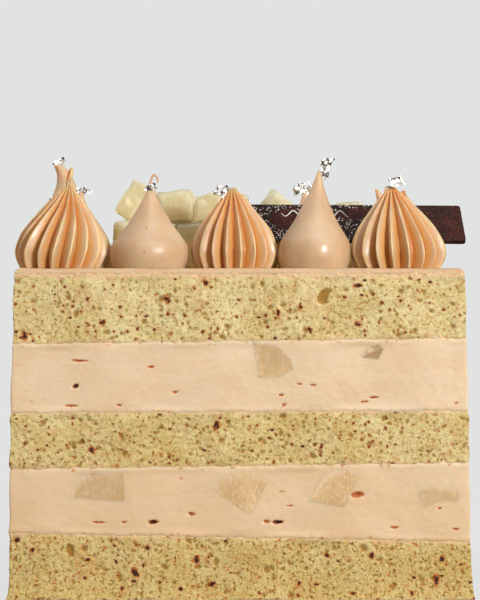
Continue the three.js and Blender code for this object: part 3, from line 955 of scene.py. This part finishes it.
# Air gaps in the cream that show on the front: place along, height, width, height of the gap, and depth.
creamGaps = {
    "cream_lower": [
        (-24.9, 22.3, 1.7, 0.6, 1.1), (11, 22.3, 1.5, 0.6, 1.1), (7.8, 22.4, 1.2, 0.55, 0.5),
        (-40.6, 22.2, 2, 0.3, 0.5), (-33.1, 22.3, 0.9, 0.35, 0.5), (-13.9, 24.6, 1.3, 0.55, 0.5),
        (14.6, 26.9, 0.9, 0.25, 0.5), (44.3, 20.7, 1.4, 0.35, 0.5), (62.1, 20.3, 1.1, 0.3, 0.5),
        (57.5, 26.3, 0.7, 0.35, 0.5), (33.9, 30.2, 2.1, 1.0, 0.5),
    ],
    "cream_upper": [
        (-18.6, 59.7, 1.1, 0.35, 0.5), (-46.1, 68.7, 2.6, 0.35, 0.5), (-25.6, 66.9, 1.2, 0.4, 0.5),
        (-47.2, 61.4, 0.9, 0.6, 1.1), (-48.3, 55.7, 1.9, 0.4, 0.5), (-34.7, 55.9, 1, 0.4, 0.5),
        (21.1, 61.7, 1.2, 0.3, 0.5), (12, 58.8, 0.9, 0.3, 0.5), (12.8, 56, 0.8, 0.5, 0.5),
        (38.7, 58.1, 1.6, 0.4, 0.5), (36, 56.9, 1.1, 0.4, 0.5), (17.3, 62, 0.8, 0.35, 0.5),
        (62.5, 56.5, 0.7, 0.3, 0.5),
    ],
}
# Those of the other sides.
otherGaps = {
    "count": 14, "reach": 60, "clear": 2, "width": (0.6, 2), "height": (0.3, 0.55),
    "depths": [0.5, 0.55, 0.6, 1.1],
}


def creamPits(seed, node, lower, upper):
    pits = [("front",) + gap for gap in creamGaps[node]]
    draw = random.Random(seed)
    reach, clear = otherGaps["reach"], otherGaps["clear"]
    for side in sidesOutOfSight:
        for _ in range(otherGaps["count"]):
            wide = draw.uniform(*otherGaps["width"])
            z = draw.uniform(seams[lower][0] + clear, seams[upper][0] - clear)
            deep = draw.choice(otherGaps["depths"])
            along, tall = draw.uniform(-reach, reach), draw.uniform(*otherGaps["height"])
            pits.append((side, along, z, wide, tall, deep))
    return pits


creamLayers = [
    ("cream_lower", "lowerSponge", "lowerCream", 1.3, 21),
    ("cream_upper", "middleSponge", "upperCream", 3.2, 22),
]
creamPoints = []
for node, lower, upper, phase, seed in creamLayers:
    pits = creamPits(seed, node, lower, upper)
    piece = slab(node + "_cut", lower, upper, {**creamValues, "phase": phase, "pits": pits})
    creamPoints.append(points(piece.data) / mm)
    standFor(piece, node, creamMaterial)

piece = slab("cream_top_coat", "upperSponge", "top", topCoat)
standFor(piece, "cream_top", creamMaterial)
print("creams made")


pearShapes = {
    "top": {"bevel": 0.1, "voxel": 0.33, "smoothing": 2, "bumps": [(8, 2.3), (2.6, 0.3)]},
    "cut": {"bevel": 0.6, "voxel": 0.4, "smoothing": 5, "bumps": [(5, 0.5)]},
}


def dressPear(node, shape):
    # A copy of the plain block, with worn edges and a soft uneven face.
    piece = copyOfNode(node, node + "_flesh")
    edges = {"segments": 2, "limit_method": "ANGLE", "angle_limit": math.radians(25)}
    addModifier(piece, "BEVEL", width=shape["bevel"] * mm, **edges)
    addModifier(piece, "REMESH", mode="VOXEL", voxel_size=shape["voxel"] * mm, use_smooth_shade=True)
    addModifier(piece, "SMOOTH", factor=0.5, iterations=shape["smoothing"])
    for size, strength in shape["bumps"]:
        addRelief(piece, size, strength, 2)
    applyModifiers(piece)
    smoothShade(piece)
    return piece


# How a piece of pear lies in the face of the cream, in millimetres. How far a point faces out is 1 at most.
cutFace = {
    "skin": 60,  # the cream's side lies farther from the middle than this
    "depth": 1.8,  # how far behind the cut face its edge goes
    "proud": 0.04,  # of the cream
    "rimFacing": 0.8,  # points that face out less are its rim
    "dip": 0.8,  # how far the rim runs in
    "dipFacing": 0.88,  # where that starts
    "dipOver": 0.3,  # and over how much of the turn it grows
    "frontFacing": 0.4,  # points that face out less are only pressed in
    "creaseAngle": 28,
}
# The veil of cream that the knife left on it, thick along the edges that look up and to the left.
creamVeil = {
    "width": 0.7,
    "widthUpLeft": 1.8,
    "torn": ((0.7, 1.3), (2.1, 0.6)),  # rate and size of two noises
    "most": 0.9,
}


def layFlush(piece, side):
    # The cut face lies a hair proud of the cream round it, and its rim runs in behind. Gives back the veil.
    axis, sign = sidesOfCake[side]

    def seen(p):
        return (p[1 - axis], p[2], 0)

    around = np.concatenate([co[(co[:, axis] * sign > cutFace["skin"])] for co in creamPoints])
    tree = treeOf([(i, seen(p)) for i, p in enumerate(around)])
    mesh = piece.data
    co = points(mesh) / mm
    facing = points(mesh, "normal")[:, axis] * sign
    out = co[:, axis] * sign
    face = np.nonzero(out > out.max() - cutFace["depth"])[0]
    rim = [i for i in face if facing[i] < cutFace["rimFacing"]]
    rimTree = treeOf([(i, seen(co[i])) for i in rim])
    veil = np.zeros(len(co))
    for i in face:
        _, near, _ = tree.find(seen(co[i]))
        dip = min(1, max(0, (cutFace["dipFacing"] - facing[i]) / cutFace["dipOver"]))
        level = around[near, axis] * sign + cutFace["proud"] - cutFace["dip"] * dip
        co[i, axis] = sign * (level if facing[i] > cutFace["frontFacing"] else min(out[i], level))
        edge, _, away = rimTree.find(seen(co[i]))
        slant = (edge[1] - co[i, 2] - (edge[0] - co[i, 1 - axis])) / (away + 0.3)
        wide = creamVeil["width"] + creamVeil["widthUpLeft"] * max(0, slant)
        torn = sum((size * noise.noise(Vector(co[i]) * rate) for rate, size in creamVeil["torn"]), 1)
        veil[i] = min(creamVeil["most"], max(0, (1 - away / wide) * torn))
    movePoints(mesh, co * mm)
    choose(piece)
    bpy.ops.object.shade_smooth_by_angle(angle=math.radians(cutFace["creaseAngle"]))
    return veil


# How dull a piece in the cream looks, from fresh to grey-brown. The first is duller still towards its top.
cutPearTones = {
    "pear_front_1": 0.1, "pear_front_2": 0.9, "pear_front_3": 0.25, "pear_front_6": 0.25, "pear_left_2": 0.5,
    "pear_back_4": 0.3,
}
dullToTop = {"pear_front_1": 0.35}
# The heap's painted light: the low tone is a painted golden glow low in the heap, where the piping in front
# shades it, and the fade is painted shade towards each piece's foot. Below what height the low tone starts,
# over what height it grows, and how strong the tones are.
heapPaintedLight = {"from": 15, "over": 12, "tone": 0.8, "fade": 0.7}

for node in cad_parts:
    if node.startswith("pear_top"):
        piece = dressPear(node, pearShapes["top"])
        # Painted light: a golden glow low in the heap, where the piping in front shades it, and painted shade
        # towards each piece's foot.
        up = points(piece.data)[:, 2] / mm - cake["topZ"]
        tone = np.clip((heapPaintedLight["from"] - up) / heapPaintedLight["over"], 0, 1) * heapPaintedLight["tone"]
        fade = heapPaintedLight["fade"] * (up.max() - up) / (up.max() - up.min())
        material = pearMaterial
    elif node.startswith("pear_"):
        piece = dressPear(node, pearShapes["cut"])
        fade = layFlush(piece, node.split("_")[1])
        up = points(piece.data)[:, 2]
        share = (up - up.min()) / (up.max() - up.min())
        tone = cutPearTones.get(node, 0.0) + dullToTop.get(node, 0.0) * share
        material = cutPearMaterial
    else:
        continue
    storeOnPoints(piece.data, "tone", tone)
    storeOnPoints(piece.data, "fade", fade)
    standFor(piece, node, material)
print("pear made")


# Outlines of the piped pieces from foot to tip: radius and height, as shares of each piece's own.
starOutline = [
    (0.87, 0), (0.97, 0.12), (1, 0.24), (0.9, 0.42), (0.72, 0.58), (0.49, 0.74), (0.26, 0.89), (0.07, 1),
]
dropOutline = [
    (0.9, 0), (0.99, 0.1), (1, 0.2), (0.95, 0.285), (0.81, 0.37), (0.62, 0.48), (0.45, 0.6), (0.31, 0.71),
    (0.16, 0.84), (0.04, 1),
]
ribs = {
    "count": 18,
    "steps": 14,  # points across each rib
    "depth": 0.27,  # of a groove, as a share of the radius
    "fullness": 1.15,
    "uneven": 0.025,
}


def pleatAt(step):
    # The radius at a step across a rib: full in its middle, least in the groove.
    return 1 - ribs["depth"] * (1 - abs(1 - 2 * step / ribs["steps"])) ** ribs["fullness"]


pipingForms = {
    "star": {
        "outline": starOutline, "sides": ribs["count"] * ribs["steps"], "levels": 44,
        "pleats": [pleatAt(step) for step in range(ribs["steps"])],
    },
    "drop": {"outline": dropOutline, "sides": 96, "levels": 56, "pleats": [1]},
}
# What all piped pieces share, in millimetres.
pipedShape = {
    "sunk": 0.15,  # into the coat
    "crowding": 1.15,  # the levels lie a little closer towards the tip
    "handRelief": [(9, 0.5), (2.5, 0.12)],
}
# The end drawn out where the nozzle pulled away, and the ribs run together.
drawnTail = {"steps": 8, "radius": 1.0, "taper": 0.15, "least": 0.02, "rounding": 0.35}


def alongOutline(outline, share):
    # A smooth curve through the outline's points: radius at a share of the height.
    shares = [up for _, up in outline]
    radii = [r for r, _ in outline]
    i = max(0, min(len(shares) - 2, int(np.searchsorted(shares, share)) - 1))
    before, after = max(0, i - 1), min(len(shares) - 1, i + 2)
    t = (share - shares[i]) / (shares[i + 1] - shares[i])
    slopeIn = (radii[i + 1] - radii[before]) / (shares[i + 1] - shares[before]) * (shares[i + 1] - shares[i])
    slopeOut = (radii[after] - radii[i]) / (shares[after] - shares[i]) * (shares[i + 1] - shares[i])
    a, b = radii[i], radii[i + 1]
    return (
        (2 * t**3 - 3 * t**2 + 1) * a
        + (t**3 - 2 * t**2 + t) * slopeIn
        + (-2 * t**3 + 3 * t**2) * b
        + (t**3 - t**2) * slopeOut
    )


def centreAt(piece, share):
    # How far the middle has leaned at a share of the height; a hook bends the last fifth.
    lean, hook = piece["lean"], piece.get("hook", (0, 0))
    bend, end = share**2, (max(0, share - 0.8) * 5) ** 2
    return lean[0] * bend + hook[0] * end, lean[1] * bend + hook[1] * end


def pipe(name, piece, form, seed):
    # Piped up from its foot: the end face is extruded, drawn in, turned and shifted a level at a time.
    draw = random.Random(seed)
    outline, sides, levels, pleats = form["outline"], form["sides"], form["levels"], form["pleats"]
    foot = cake["topZ"] - pipedShape["sunk"]
    footRadius = piece["radius"] * outline[0][0]
    deselectAll()
    bpy.ops.mesh.primitive_circle_add(
        vertices=sides, radius=footRadius * mm, fill_type="NGON",
        location=(piece["x"] * mm, piece["y"] * mm, foot * mm),
    )
    body = named(name)
    placeInMesh(body)
    co = points(body.data)
    centre = np.array([piece["x"] * mm, piece["y"] * mm])
    ribSizes = [1 + draw.uniform(-ribs["uneven"], ribs["uneven"]) for _ in range(ribs["count"])]
    for i in range(len(co)):
        around = math.atan2(co[i, 1] - centre[1], co[i, 0] - centre[0]) % (2 * math.pi)
        step = round(around / (2 * math.pi) * sides) % sides
        share = pleats[step % len(pleats)]
        rib = (step + len(pleats) // 2) // len(pleats) % ribs["count"]
        co[i, :2] = centre + (co[i, :2] - centre) * share * (ribSizes[rib] if len(pleats) > 1 else 1)
    movePoints(body.data, co)
    editAll(body)
    state = {"radius": footRadius, "x": 0.0, "y": 0.0, "z": 0.0}

    def rise(radius, x, y, z, twist=0.0):
        shift = ((x - state["x"]) * mm, (y - state["y"]) * mm, (z - state["z"]) * mm)
        bpy.ops.mesh.extrude_region_move(TRANSFORM_OT_translate={"value": shift})
        pivot = ((piece["x"] + x) * mm, (piece["y"] + y) * mm, (foot + z) * mm)
        scale = radius / state["radius"]
        bpy.ops.transform.resize(value=(scale, scale, 1), center_override=pivot)
        if twist:
            bpy.ops.transform.rotate(value=-math.radians(twist), orient_axis="Z", center_override=pivot)
        state.update(radius=radius, x=x, y=y, z=z)
        return pivot

    for level in range(1, levels + 1):
        share = 1 - (1 - level / levels) ** pipedShape["crowding"]
        x, y = centreAt(piece, share)
        radius = piece["radius"] * alongOutline(outline, share) + piece.get("stout", 0) * share
        rise(radius, x, y, piece["height"] * share, piece.get("twist", 0) / levels)
    if "tail" in piece:
        endX, endY = centreAt(piece, 1)
        bend = piece.get("tailLean", (0, 0))
        for step in range(1, drawnTail["steps"] + 1):
            t = step / drawnTail["steps"]
            radius = drawnTail["radius"] * math.sqrt(max(drawnTail["least"], 1 - t**4))
            radius *= 1 - drawnTail["taper"] * t
            z = piece["height"] + piece["tail"] * t
            pivot = rise(radius, endX + bend[0] * t * t, endY + bend[1] * t * t, z)
            bpy.ops.transform.tosphere(value=drawnTail["rounding"], center_override=pivot)
    leaveEdit()
    return body


def finishPiping(body, piece):
    for size, strength in pipedShape["handRelief"]:
        addRelief(body, size, strength, 1)
    applyModifiers(body)
    smoothShade(body)
    if piece["kind"] == "drop":
        return
    # How deep each point lies in a groove, from 0 on a ridge to 1, which sets the ribbed cream's painted
    # ridge highlight and groove shade.
    co = points(body.data) / mm
    share = np.clip((co[:, 2] - cake["topZ"]) / piece["height"], 0, 1)
    leanX, leanY = piece["lean"]
    away = np.hypot(co[:, 0] - piece["x"] - leanX * share**2, co[:, 1] - piece["y"] - leanY * share**2)
    full = piece["radius"] * np.interp(share, [up for _, up in starOutline], [r for r, _ in starOutline])
    storeOnPoints(body.data, "groove", np.clip((1 - away / np.maximum(full, 0.5)) / ribs["depth"], 0, 1))


# A flake of leaf, in millimetres, where a piece gives no other size.
leafShape = {
    "cells": (14, 10),
    "size": (3.6, 2.8),
    "corner": 1.08,  # how far out the outline is before it is torn
    "torn": ((3, 1, 0.15), (7, 2, 0.09)),  # waves round the outline: how many, how turned, how deep
    "crush": (("NORMAL", 2.0), ("X", 1.2), ("Z", 1.3)),
    "crushSize": (1.9, 2.8),
    "thickness": 0.06,
}


def leafFlake(name, place, size, turn, seed):
    # Crumpled leaf: a small torn sheet, crushed in three directions and given a hair of thickness.
    draw = random.Random(seed)
    deselectAll()
    bpy.ops.mesh.primitive_grid_add(
        x_subdivisions=leafShape["cells"][0], y_subdivisions=leafShape["cells"][1], size=1,
        location=[part * mm for part in place], rotation=[math.radians(a) for a in turn],
    )
    flake = named(name)
    co = points(flake.data)
    around, reach = np.arctan2(co[:, 1], co[:, 0]), 2 * np.abs(co[:, :2]).max(1)
    phase = draw.uniform(0, 2 * math.pi)
    waves = leafShape["torn"]
    torn = sum(deep * (1 + np.sin(count * around + turned * phase)) for count, turned, deep in waves)
    co[:, :2] *= (leafShape["corner"] - reach * torn)[:, None]
    movePoints(flake.data, co)
    flake.scale = (size[0] * mm, size[1] * mm, 1)
    placeInMesh(flake)
    for axis, strength in leafShape["crush"]:
        addRelief(flake, draw.uniform(*leafShape["crushSize"]), strength, 1, direction=axis)
    addModifier(flake, "SOLIDIFY", thickness=leafShape["thickness"] * mm, offset=0)
    applyModifiers(flake)
    return flake


# The piped pieces: place, size, lean and twist, and the flake of leaf by its place from the foot's middle.
frontRow = [
    {
        "kind": "star", "x": -52.4, "y": -50, "radius": 14, "height": 24.4, "lean": (2.2, 0), "twist": 24,
        "tail": 5.6, "tailLean": (0.9, 0),
        "leaf": (6.4, -0.4, 22.8), "leafSize": (5.4, 1.6), "leafTurn": (70, 8, 10),
    },
    {
        "kind": "drop", "x": -26.5, "y": -51, "radius": 11.7, "height": 25.6, "lean": (0.4, 0),
        "leaf": (0.4, -0.9, 23.8), "leafSize": (4.2, 2.2), "leafTurn": (80, -28, 0),
    },
    {
        "kind": "star", "x": -1.7, "y": -50.1, "radius": 12.9, "height": 23.9, "lean": (-0.4, 0),
        "leaf": (-3.3, -1, 22.6), "leafSize": (5.6, 4.6), "leafTurn": (70, 20, 0),
    },
    {
        "kind": "drop", "x": 22, "y": -52, "radius": 10.6, "height": 28.8, "lean": (1.5, 0),
        "leaf": (3.4, 0, 29.8), "leafSize": (3.4, 6.6), "leafTurn": (85, 22, 0),
    },
    {
        "kind": "star", "x": 46.9, "y": -49.9, "radius": 14.1, "height": 24.2, "lean": (-2.1, 0), "twist": -6,
        "leaf": (-0.8, -0.6, 25.4), "leafSize": (5.4, 3.2), "leafTurn": (70, -15, 0),
    },
]
# The rest of the ring, anticlockwise from the front right corner. Three of them carry no leaf.
restOfRing = [
    {"kind": "drop", "x": 48.4, "y": -20.6, "radius": 11.2, "height": 25, "lean": (-6.4, 1), "bare": True},
    {
        "kind": "star", "x": 50.4, "y": 3.8, "radius": 12.9, "height": 24.4, "lean": (1.6, 0.4), "twist": 10,
        "tail": 1.4, "bare": True,
    },
    {"kind": "drop", "x": 50, "y": 28.1, "radius": 11.1, "height": 28, "lean": (-1.8, 0.6), "bare": True},
    {
        "kind": "star", "x": 50.6, "y": 52.4, "radius": 13, "height": 23.6, "lean": (-2, -0.4), "twist": -8,
        "tail": 1.8,
    },
    {
        "kind": "drop", "x": 22.4, "y": 52.4, "radius": 11.3, "height": 28, "lean": (-0.4, -0.8),
        "leaf": (-0.8, -1, 28), "leafSize": (7, 6), "leafTurn": (75, 10, 0),
    },
    {
        "kind": "star", "x": -2.3, "y": 51.8, "radius": 13, "height": 24.2, "lean": (0.6, 0.4), "twist": 8,
        "tail": 1.2,
    },
    {"kind": "drop", "x": -27, "y": 52, "radius": 11.3, "height": 25, "lean": (0.8, 0.2)},
    {
        "kind": "star", "x": -54.2, "y": 52.6, "radius": 11.6, "height": 23, "lean": (-0.8, 0.6), "twist": 12,
        "tail": 2.2,
    },
    {"kind": "drop", "x": -52.2, "y": 26.4, "radius": 11.2, "height": 26.8, "lean": (0.4, -1)},
    {
        "kind": "star", "x": -53, "y": 1.6, "radius": 12.4, "height": 24.4, "lean": (0.6, -0.6), "twist": 6,
        "tail": 1.6,
    },
    {
        "kind": "drop", "x": -52.8, "y": -23.4, "radius": 11.4, "height": 32, "stout": 1, "lean": (-0.2, 0.4),
        "hook": (-2.2, 0), "leaf": (-2.4, -0.2, 33.2), "leafSize": (4.2, 2.3), "leafTurn": (75, -25, 0),
    },
]
ringSeeds = {"piping": 40, "leaf": 70}

counts = {"star": 0, "drop": 0}
for index, piece in enumerate(frontRow + restOfRing):
    kind = piece["kind"]
    counts[kind] += 1
    node = f"{kind}_{counts[kind]}"
    body = pipe(node + "_piped", piece, pipingForms[kind], ringSeeds["piping"] + index)
    finishPiping(body, piece)
    standFor(body, node, pipingMaterials[kind])
    if piece.get("bare"):
        continue
    # Where nothing else is given, the leaf lies just below the crown and is turned by its place in the ring.
    crownX, crownY = centreAt(piece, 1)
    x, y, z = piece.get("leaf", (crownX, crownY - 0.4, piece["height"] - 0.8))
    place = (piece["x"] + x, piece["y"] + y, cake["topZ"] + z)
    turn = piece.get("leafTurn", (60, 20 * (index % 3 - 1), 40 * index))
    size = piece.get("leafSize", leafShape["size"])
    flake = leafFlake(node + "_leaf", place, size, turn, ringSeeds["leaf"] + index)
    standFor(flake, node, silverMaterial)

# A crumb of leaf that lies on the first star's left shoulder.
leafCrumb = {"place": (-55.6, -51, 115.2), "size": (3, 1.8), "turn": (75, -35, 0), "seed": 91}
crumb = leafFlake("star_1_crumb", **leafCrumb)
standFor(crumb, "star_1", silverMaterial)

# The thread that the nozzle left on the second piece, curled over on itself: x and height over the coat.
curlShape = {
    "path": [
        (-26.2, 23.6), (-26.1, 25.2), (-25.9, 26.8), (-25.2, 27.7), (-24.4, 27.4), (-24, 26.4), (-24.1, 25.2),
    ],
    "y": -51.2,
    "radius": 0.4,
    "groove": 0.1,  # its place on the ribbed cream's scale of painted ridge highlight and groove shade
}
curlPath = [(x, curlShape["y"], cake["topZ"] + up) for x, up in curlShape["path"]]
curl = threadAlong("drop_1_curl", curlPath, curlShape["radius"])
storeOnPoints(curl.data, "groove", [curlShape["groove"]] * len(curl.data.vertices))
standFor(curl, "drop_1", pipingMaterials["star"])
print("piping made")


plaque = {
    "width": 15.6,
    "thickness": 1.4,
    "lean": 45,  # back from upright
    "fall": 0.5,  # to the right
    "bottomZ": 7.8,
    "y": -34.6,
    "centreX": 32.7,
    "edge": 0.22,
}


def onPlaque(along, down):
    # A place on the face: along from the middle, and down from the top edge.
    tilt, turn = math.radians(90 - plaque["lean"]), -math.radians(plaque["fall"])
    half, thick = plaque["width"] / 2, plaque["thickness"]
    u, v = along, half - down
    u, v = u * math.cos(turn) - v * math.sin(turn), u * math.sin(turn) + v * math.cos(turn)
    y = plaque["y"] + half * math.cos(tilt) + v * math.cos(tilt) - thick * math.sin(tilt)
    z = cake["topZ"] + plaque["bottomZ"] + half * math.sin(tilt) + v * math.sin(tilt) + thick * math.cos(tilt)
    return plaque["centreX"] + u, y, z


bar = copyOfNode("chocolate_plaque", "chocolate_plaque_bar")
corners = {"segments": 3, "limit_method": "ANGLE", "angle_limit": math.radians(40)}
addModifier(bar, "BEVEL", width=plaque["edge"] * mm, **corners)
applyModifiers(bar)
smoothShade(bar)
standFor(bar, "chocolate_plaque", chocolateMaterial)

# A plain wavy line of white icing.
waveLine = {"start": -20, "step": 0.55, "places": 38, "down": 4, "swing": 1.35, "rate": 1.32, "radius": 0.24}


def waveAt(i):
    sway = math.sin(waveLine["rate"] * waveLine["step"] * i)
    return onPlaque(waveLine["start"] + waveLine["step"] * i, waveLine["down"] + waveLine["swing"] * sway)


wave = threadAlong("plaque_wave", [waveAt(i) for i in range(waveLine["places"])], waveLine["radius"])
setMaterial(wave, icingMaterial)
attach(wave, "root")
print("plaque made")


# Millimetres; the distance is from the cake's front.
cameraView = {"distance": 690, "height": 86.2, "across": 0.14, "lens": 143.6, "sensor": 36}


def makeCamera():
    data = bpy.data.cameras.new("camera")
    data.sensor_width = cameraView["sensor"]
    data.lens = cameraView["lens"]
    data.clip_start, data.clip_end = 0.01, 50
    camera = bpy.data.objects.new("camera", data)
    bpy.context.scene.collection.objects.link(camera)
    front = -cake["topSide"] / 2 - cameraView["distance"]
    camera.location = (cameraView["across"] * mm, front * mm, cameraView["height"] * mm)
    camera.rotation_euler = (math.radians(90), 0, 0)
    bpy.context.scene.camera = camera


# Soft boxes aimed at the cake. Azimuth is to the right of the camera's own place, and lengths are in metres.
backLight = {"elevation": 20, "distance": 1.6, "size": 0.8, "mirrored": False}
studioLights = {
    "key": {
        "azimuth": 31, "elevation": 13, "distance": 1.6, "size": 0.24, "watts": 21,
        "colour": (1.0, 0.97, 0.94),
    },
    "top": {
        "azimuth": 12, "elevation": 62, "distance": 1.4, "size": 0.8, "watts": 5.2,
        "colour": (1.0, 0.99, 0.97),
    },
    "backRight": {**backLight, "azimuth": 148, "watts": 10, "colour": (1.0, 0.98, 0.96)},
    "backLeft": {**backLight, "azimuth": -120, "watts": 18, "colour": (1.0, 0.98, 0.95)},
}
aimHeight = 0.07


def makeLight(name, values):
    a, e = math.radians(values["azimuth"]), math.radians(values["elevation"])
    away = Vector((math.sin(a) * math.cos(e), -math.cos(a) * math.cos(e), math.sin(e)))
    data = bpy.data.lights.new(name, "AREA")
    data.shape = "RECTANGLE"
    data.size = data.size_y = values["size"]
    data.energy = values["watts"]
    data.color = values["colour"]
    light = bpy.data.objects.new(name, data)
    light.visible_glossy = values.get("mirrored", True)
    light.location = Vector((0, 0, aimHeight)) + away * values["distance"]
    light.rotation_mode = "QUATERNION"
    light.rotation_quaternion = (-away).to_track_quat("-Z", "Y")
    bpy.context.scene.collection.objects.link(light)


studio = {
    "seen": rgb(225, 227, 226),
    "below": (0.6, 0.46, 0.33, 1),  # light thrown back by the floor
    "above": (1.0, 0.98, 0.95, 1),
    "strength": 0.31,
    "mirrored": (-0.22, 0.4),  # how much less or more of it gloss shows, low down and high up
    "floor": rgb(228, 230, 229),
    "floorRadius": 0.9,
    "floorRoughness": 0.9,
    "floorAlpha": 0.12,
    "floorFade": (0.1, 0.6),  # between these distances from the cake
}


def makeWorld():
    world = bpy.data.worlds.new("studio")
    bpy.context.scene.world = world
    world.use_nodes = True
    w = Wiring(world.node_tree)
    w.tree.nodes.clear()
    seen = w.add("ShaderNodeBackground")
    w.put(seen, "Color", studio["seen"])
    lit = w.add("ShaderNodeBackground")
    up = w.part(w.add("ShaderNodeTexCoord").outputs["Generated"], "Z")
    w.put(lit, "Color", w.mix(w.ramp(up, -0.4, 0.8), studio["below"], studio["above"]))
    ray = w.add("ShaderNodeLightPath").outputs
    mirrored = w.math("MULTIPLY", ray["Is Glossy Ray"], w.ramp(up, 0.1, 0.6, *studio["mirrored"]))
    w.put(lit, "Strength", w.math("ADD", mirrored, studio["strength"]))
    mix = w.add("ShaderNodeMixShader")
    w.put(mix, 0, w.math("MAXIMUM", ray["Is Camera Ray"], ray["Is Transmission Ray"]))
    w.put(mix, 1, lit.outputs[0])
    w.put(mix, 2, seen.outputs[0])
    w.put(w.add("ShaderNodeOutputWorld"), "Surface", mix.outputs[0])


def makeFloor():
    deselectAll()
    bpy.ops.mesh.primitive_circle_add(
        vertices=96, radius=studio["floorRadius"], fill_type="NGON", location=(0, 0, 0)
    )
    floor = named("floor")
    material, shader, w, place = newMaterial("paleFloor")
    away = w.vectorMath("LENGTH", place)
    w.put(shader, "Alpha", w.ramp(away, *studio["floorFade"], studio["floorAlpha"], 0))
    w.putAll(shader, {"Base Color": studio["floor"], "Roughness": studio["floorRoughness"]})
    setMaterial(floor, material)


makeCamera()
makeWorld()
makeFloor()
for name, values in studioLights.items():
    makeLight(name, values)
scene = bpy.context.scene
scene.view_settings.view_transform = "Standard"
scene.view_settings.look = "None"
print("stage made")
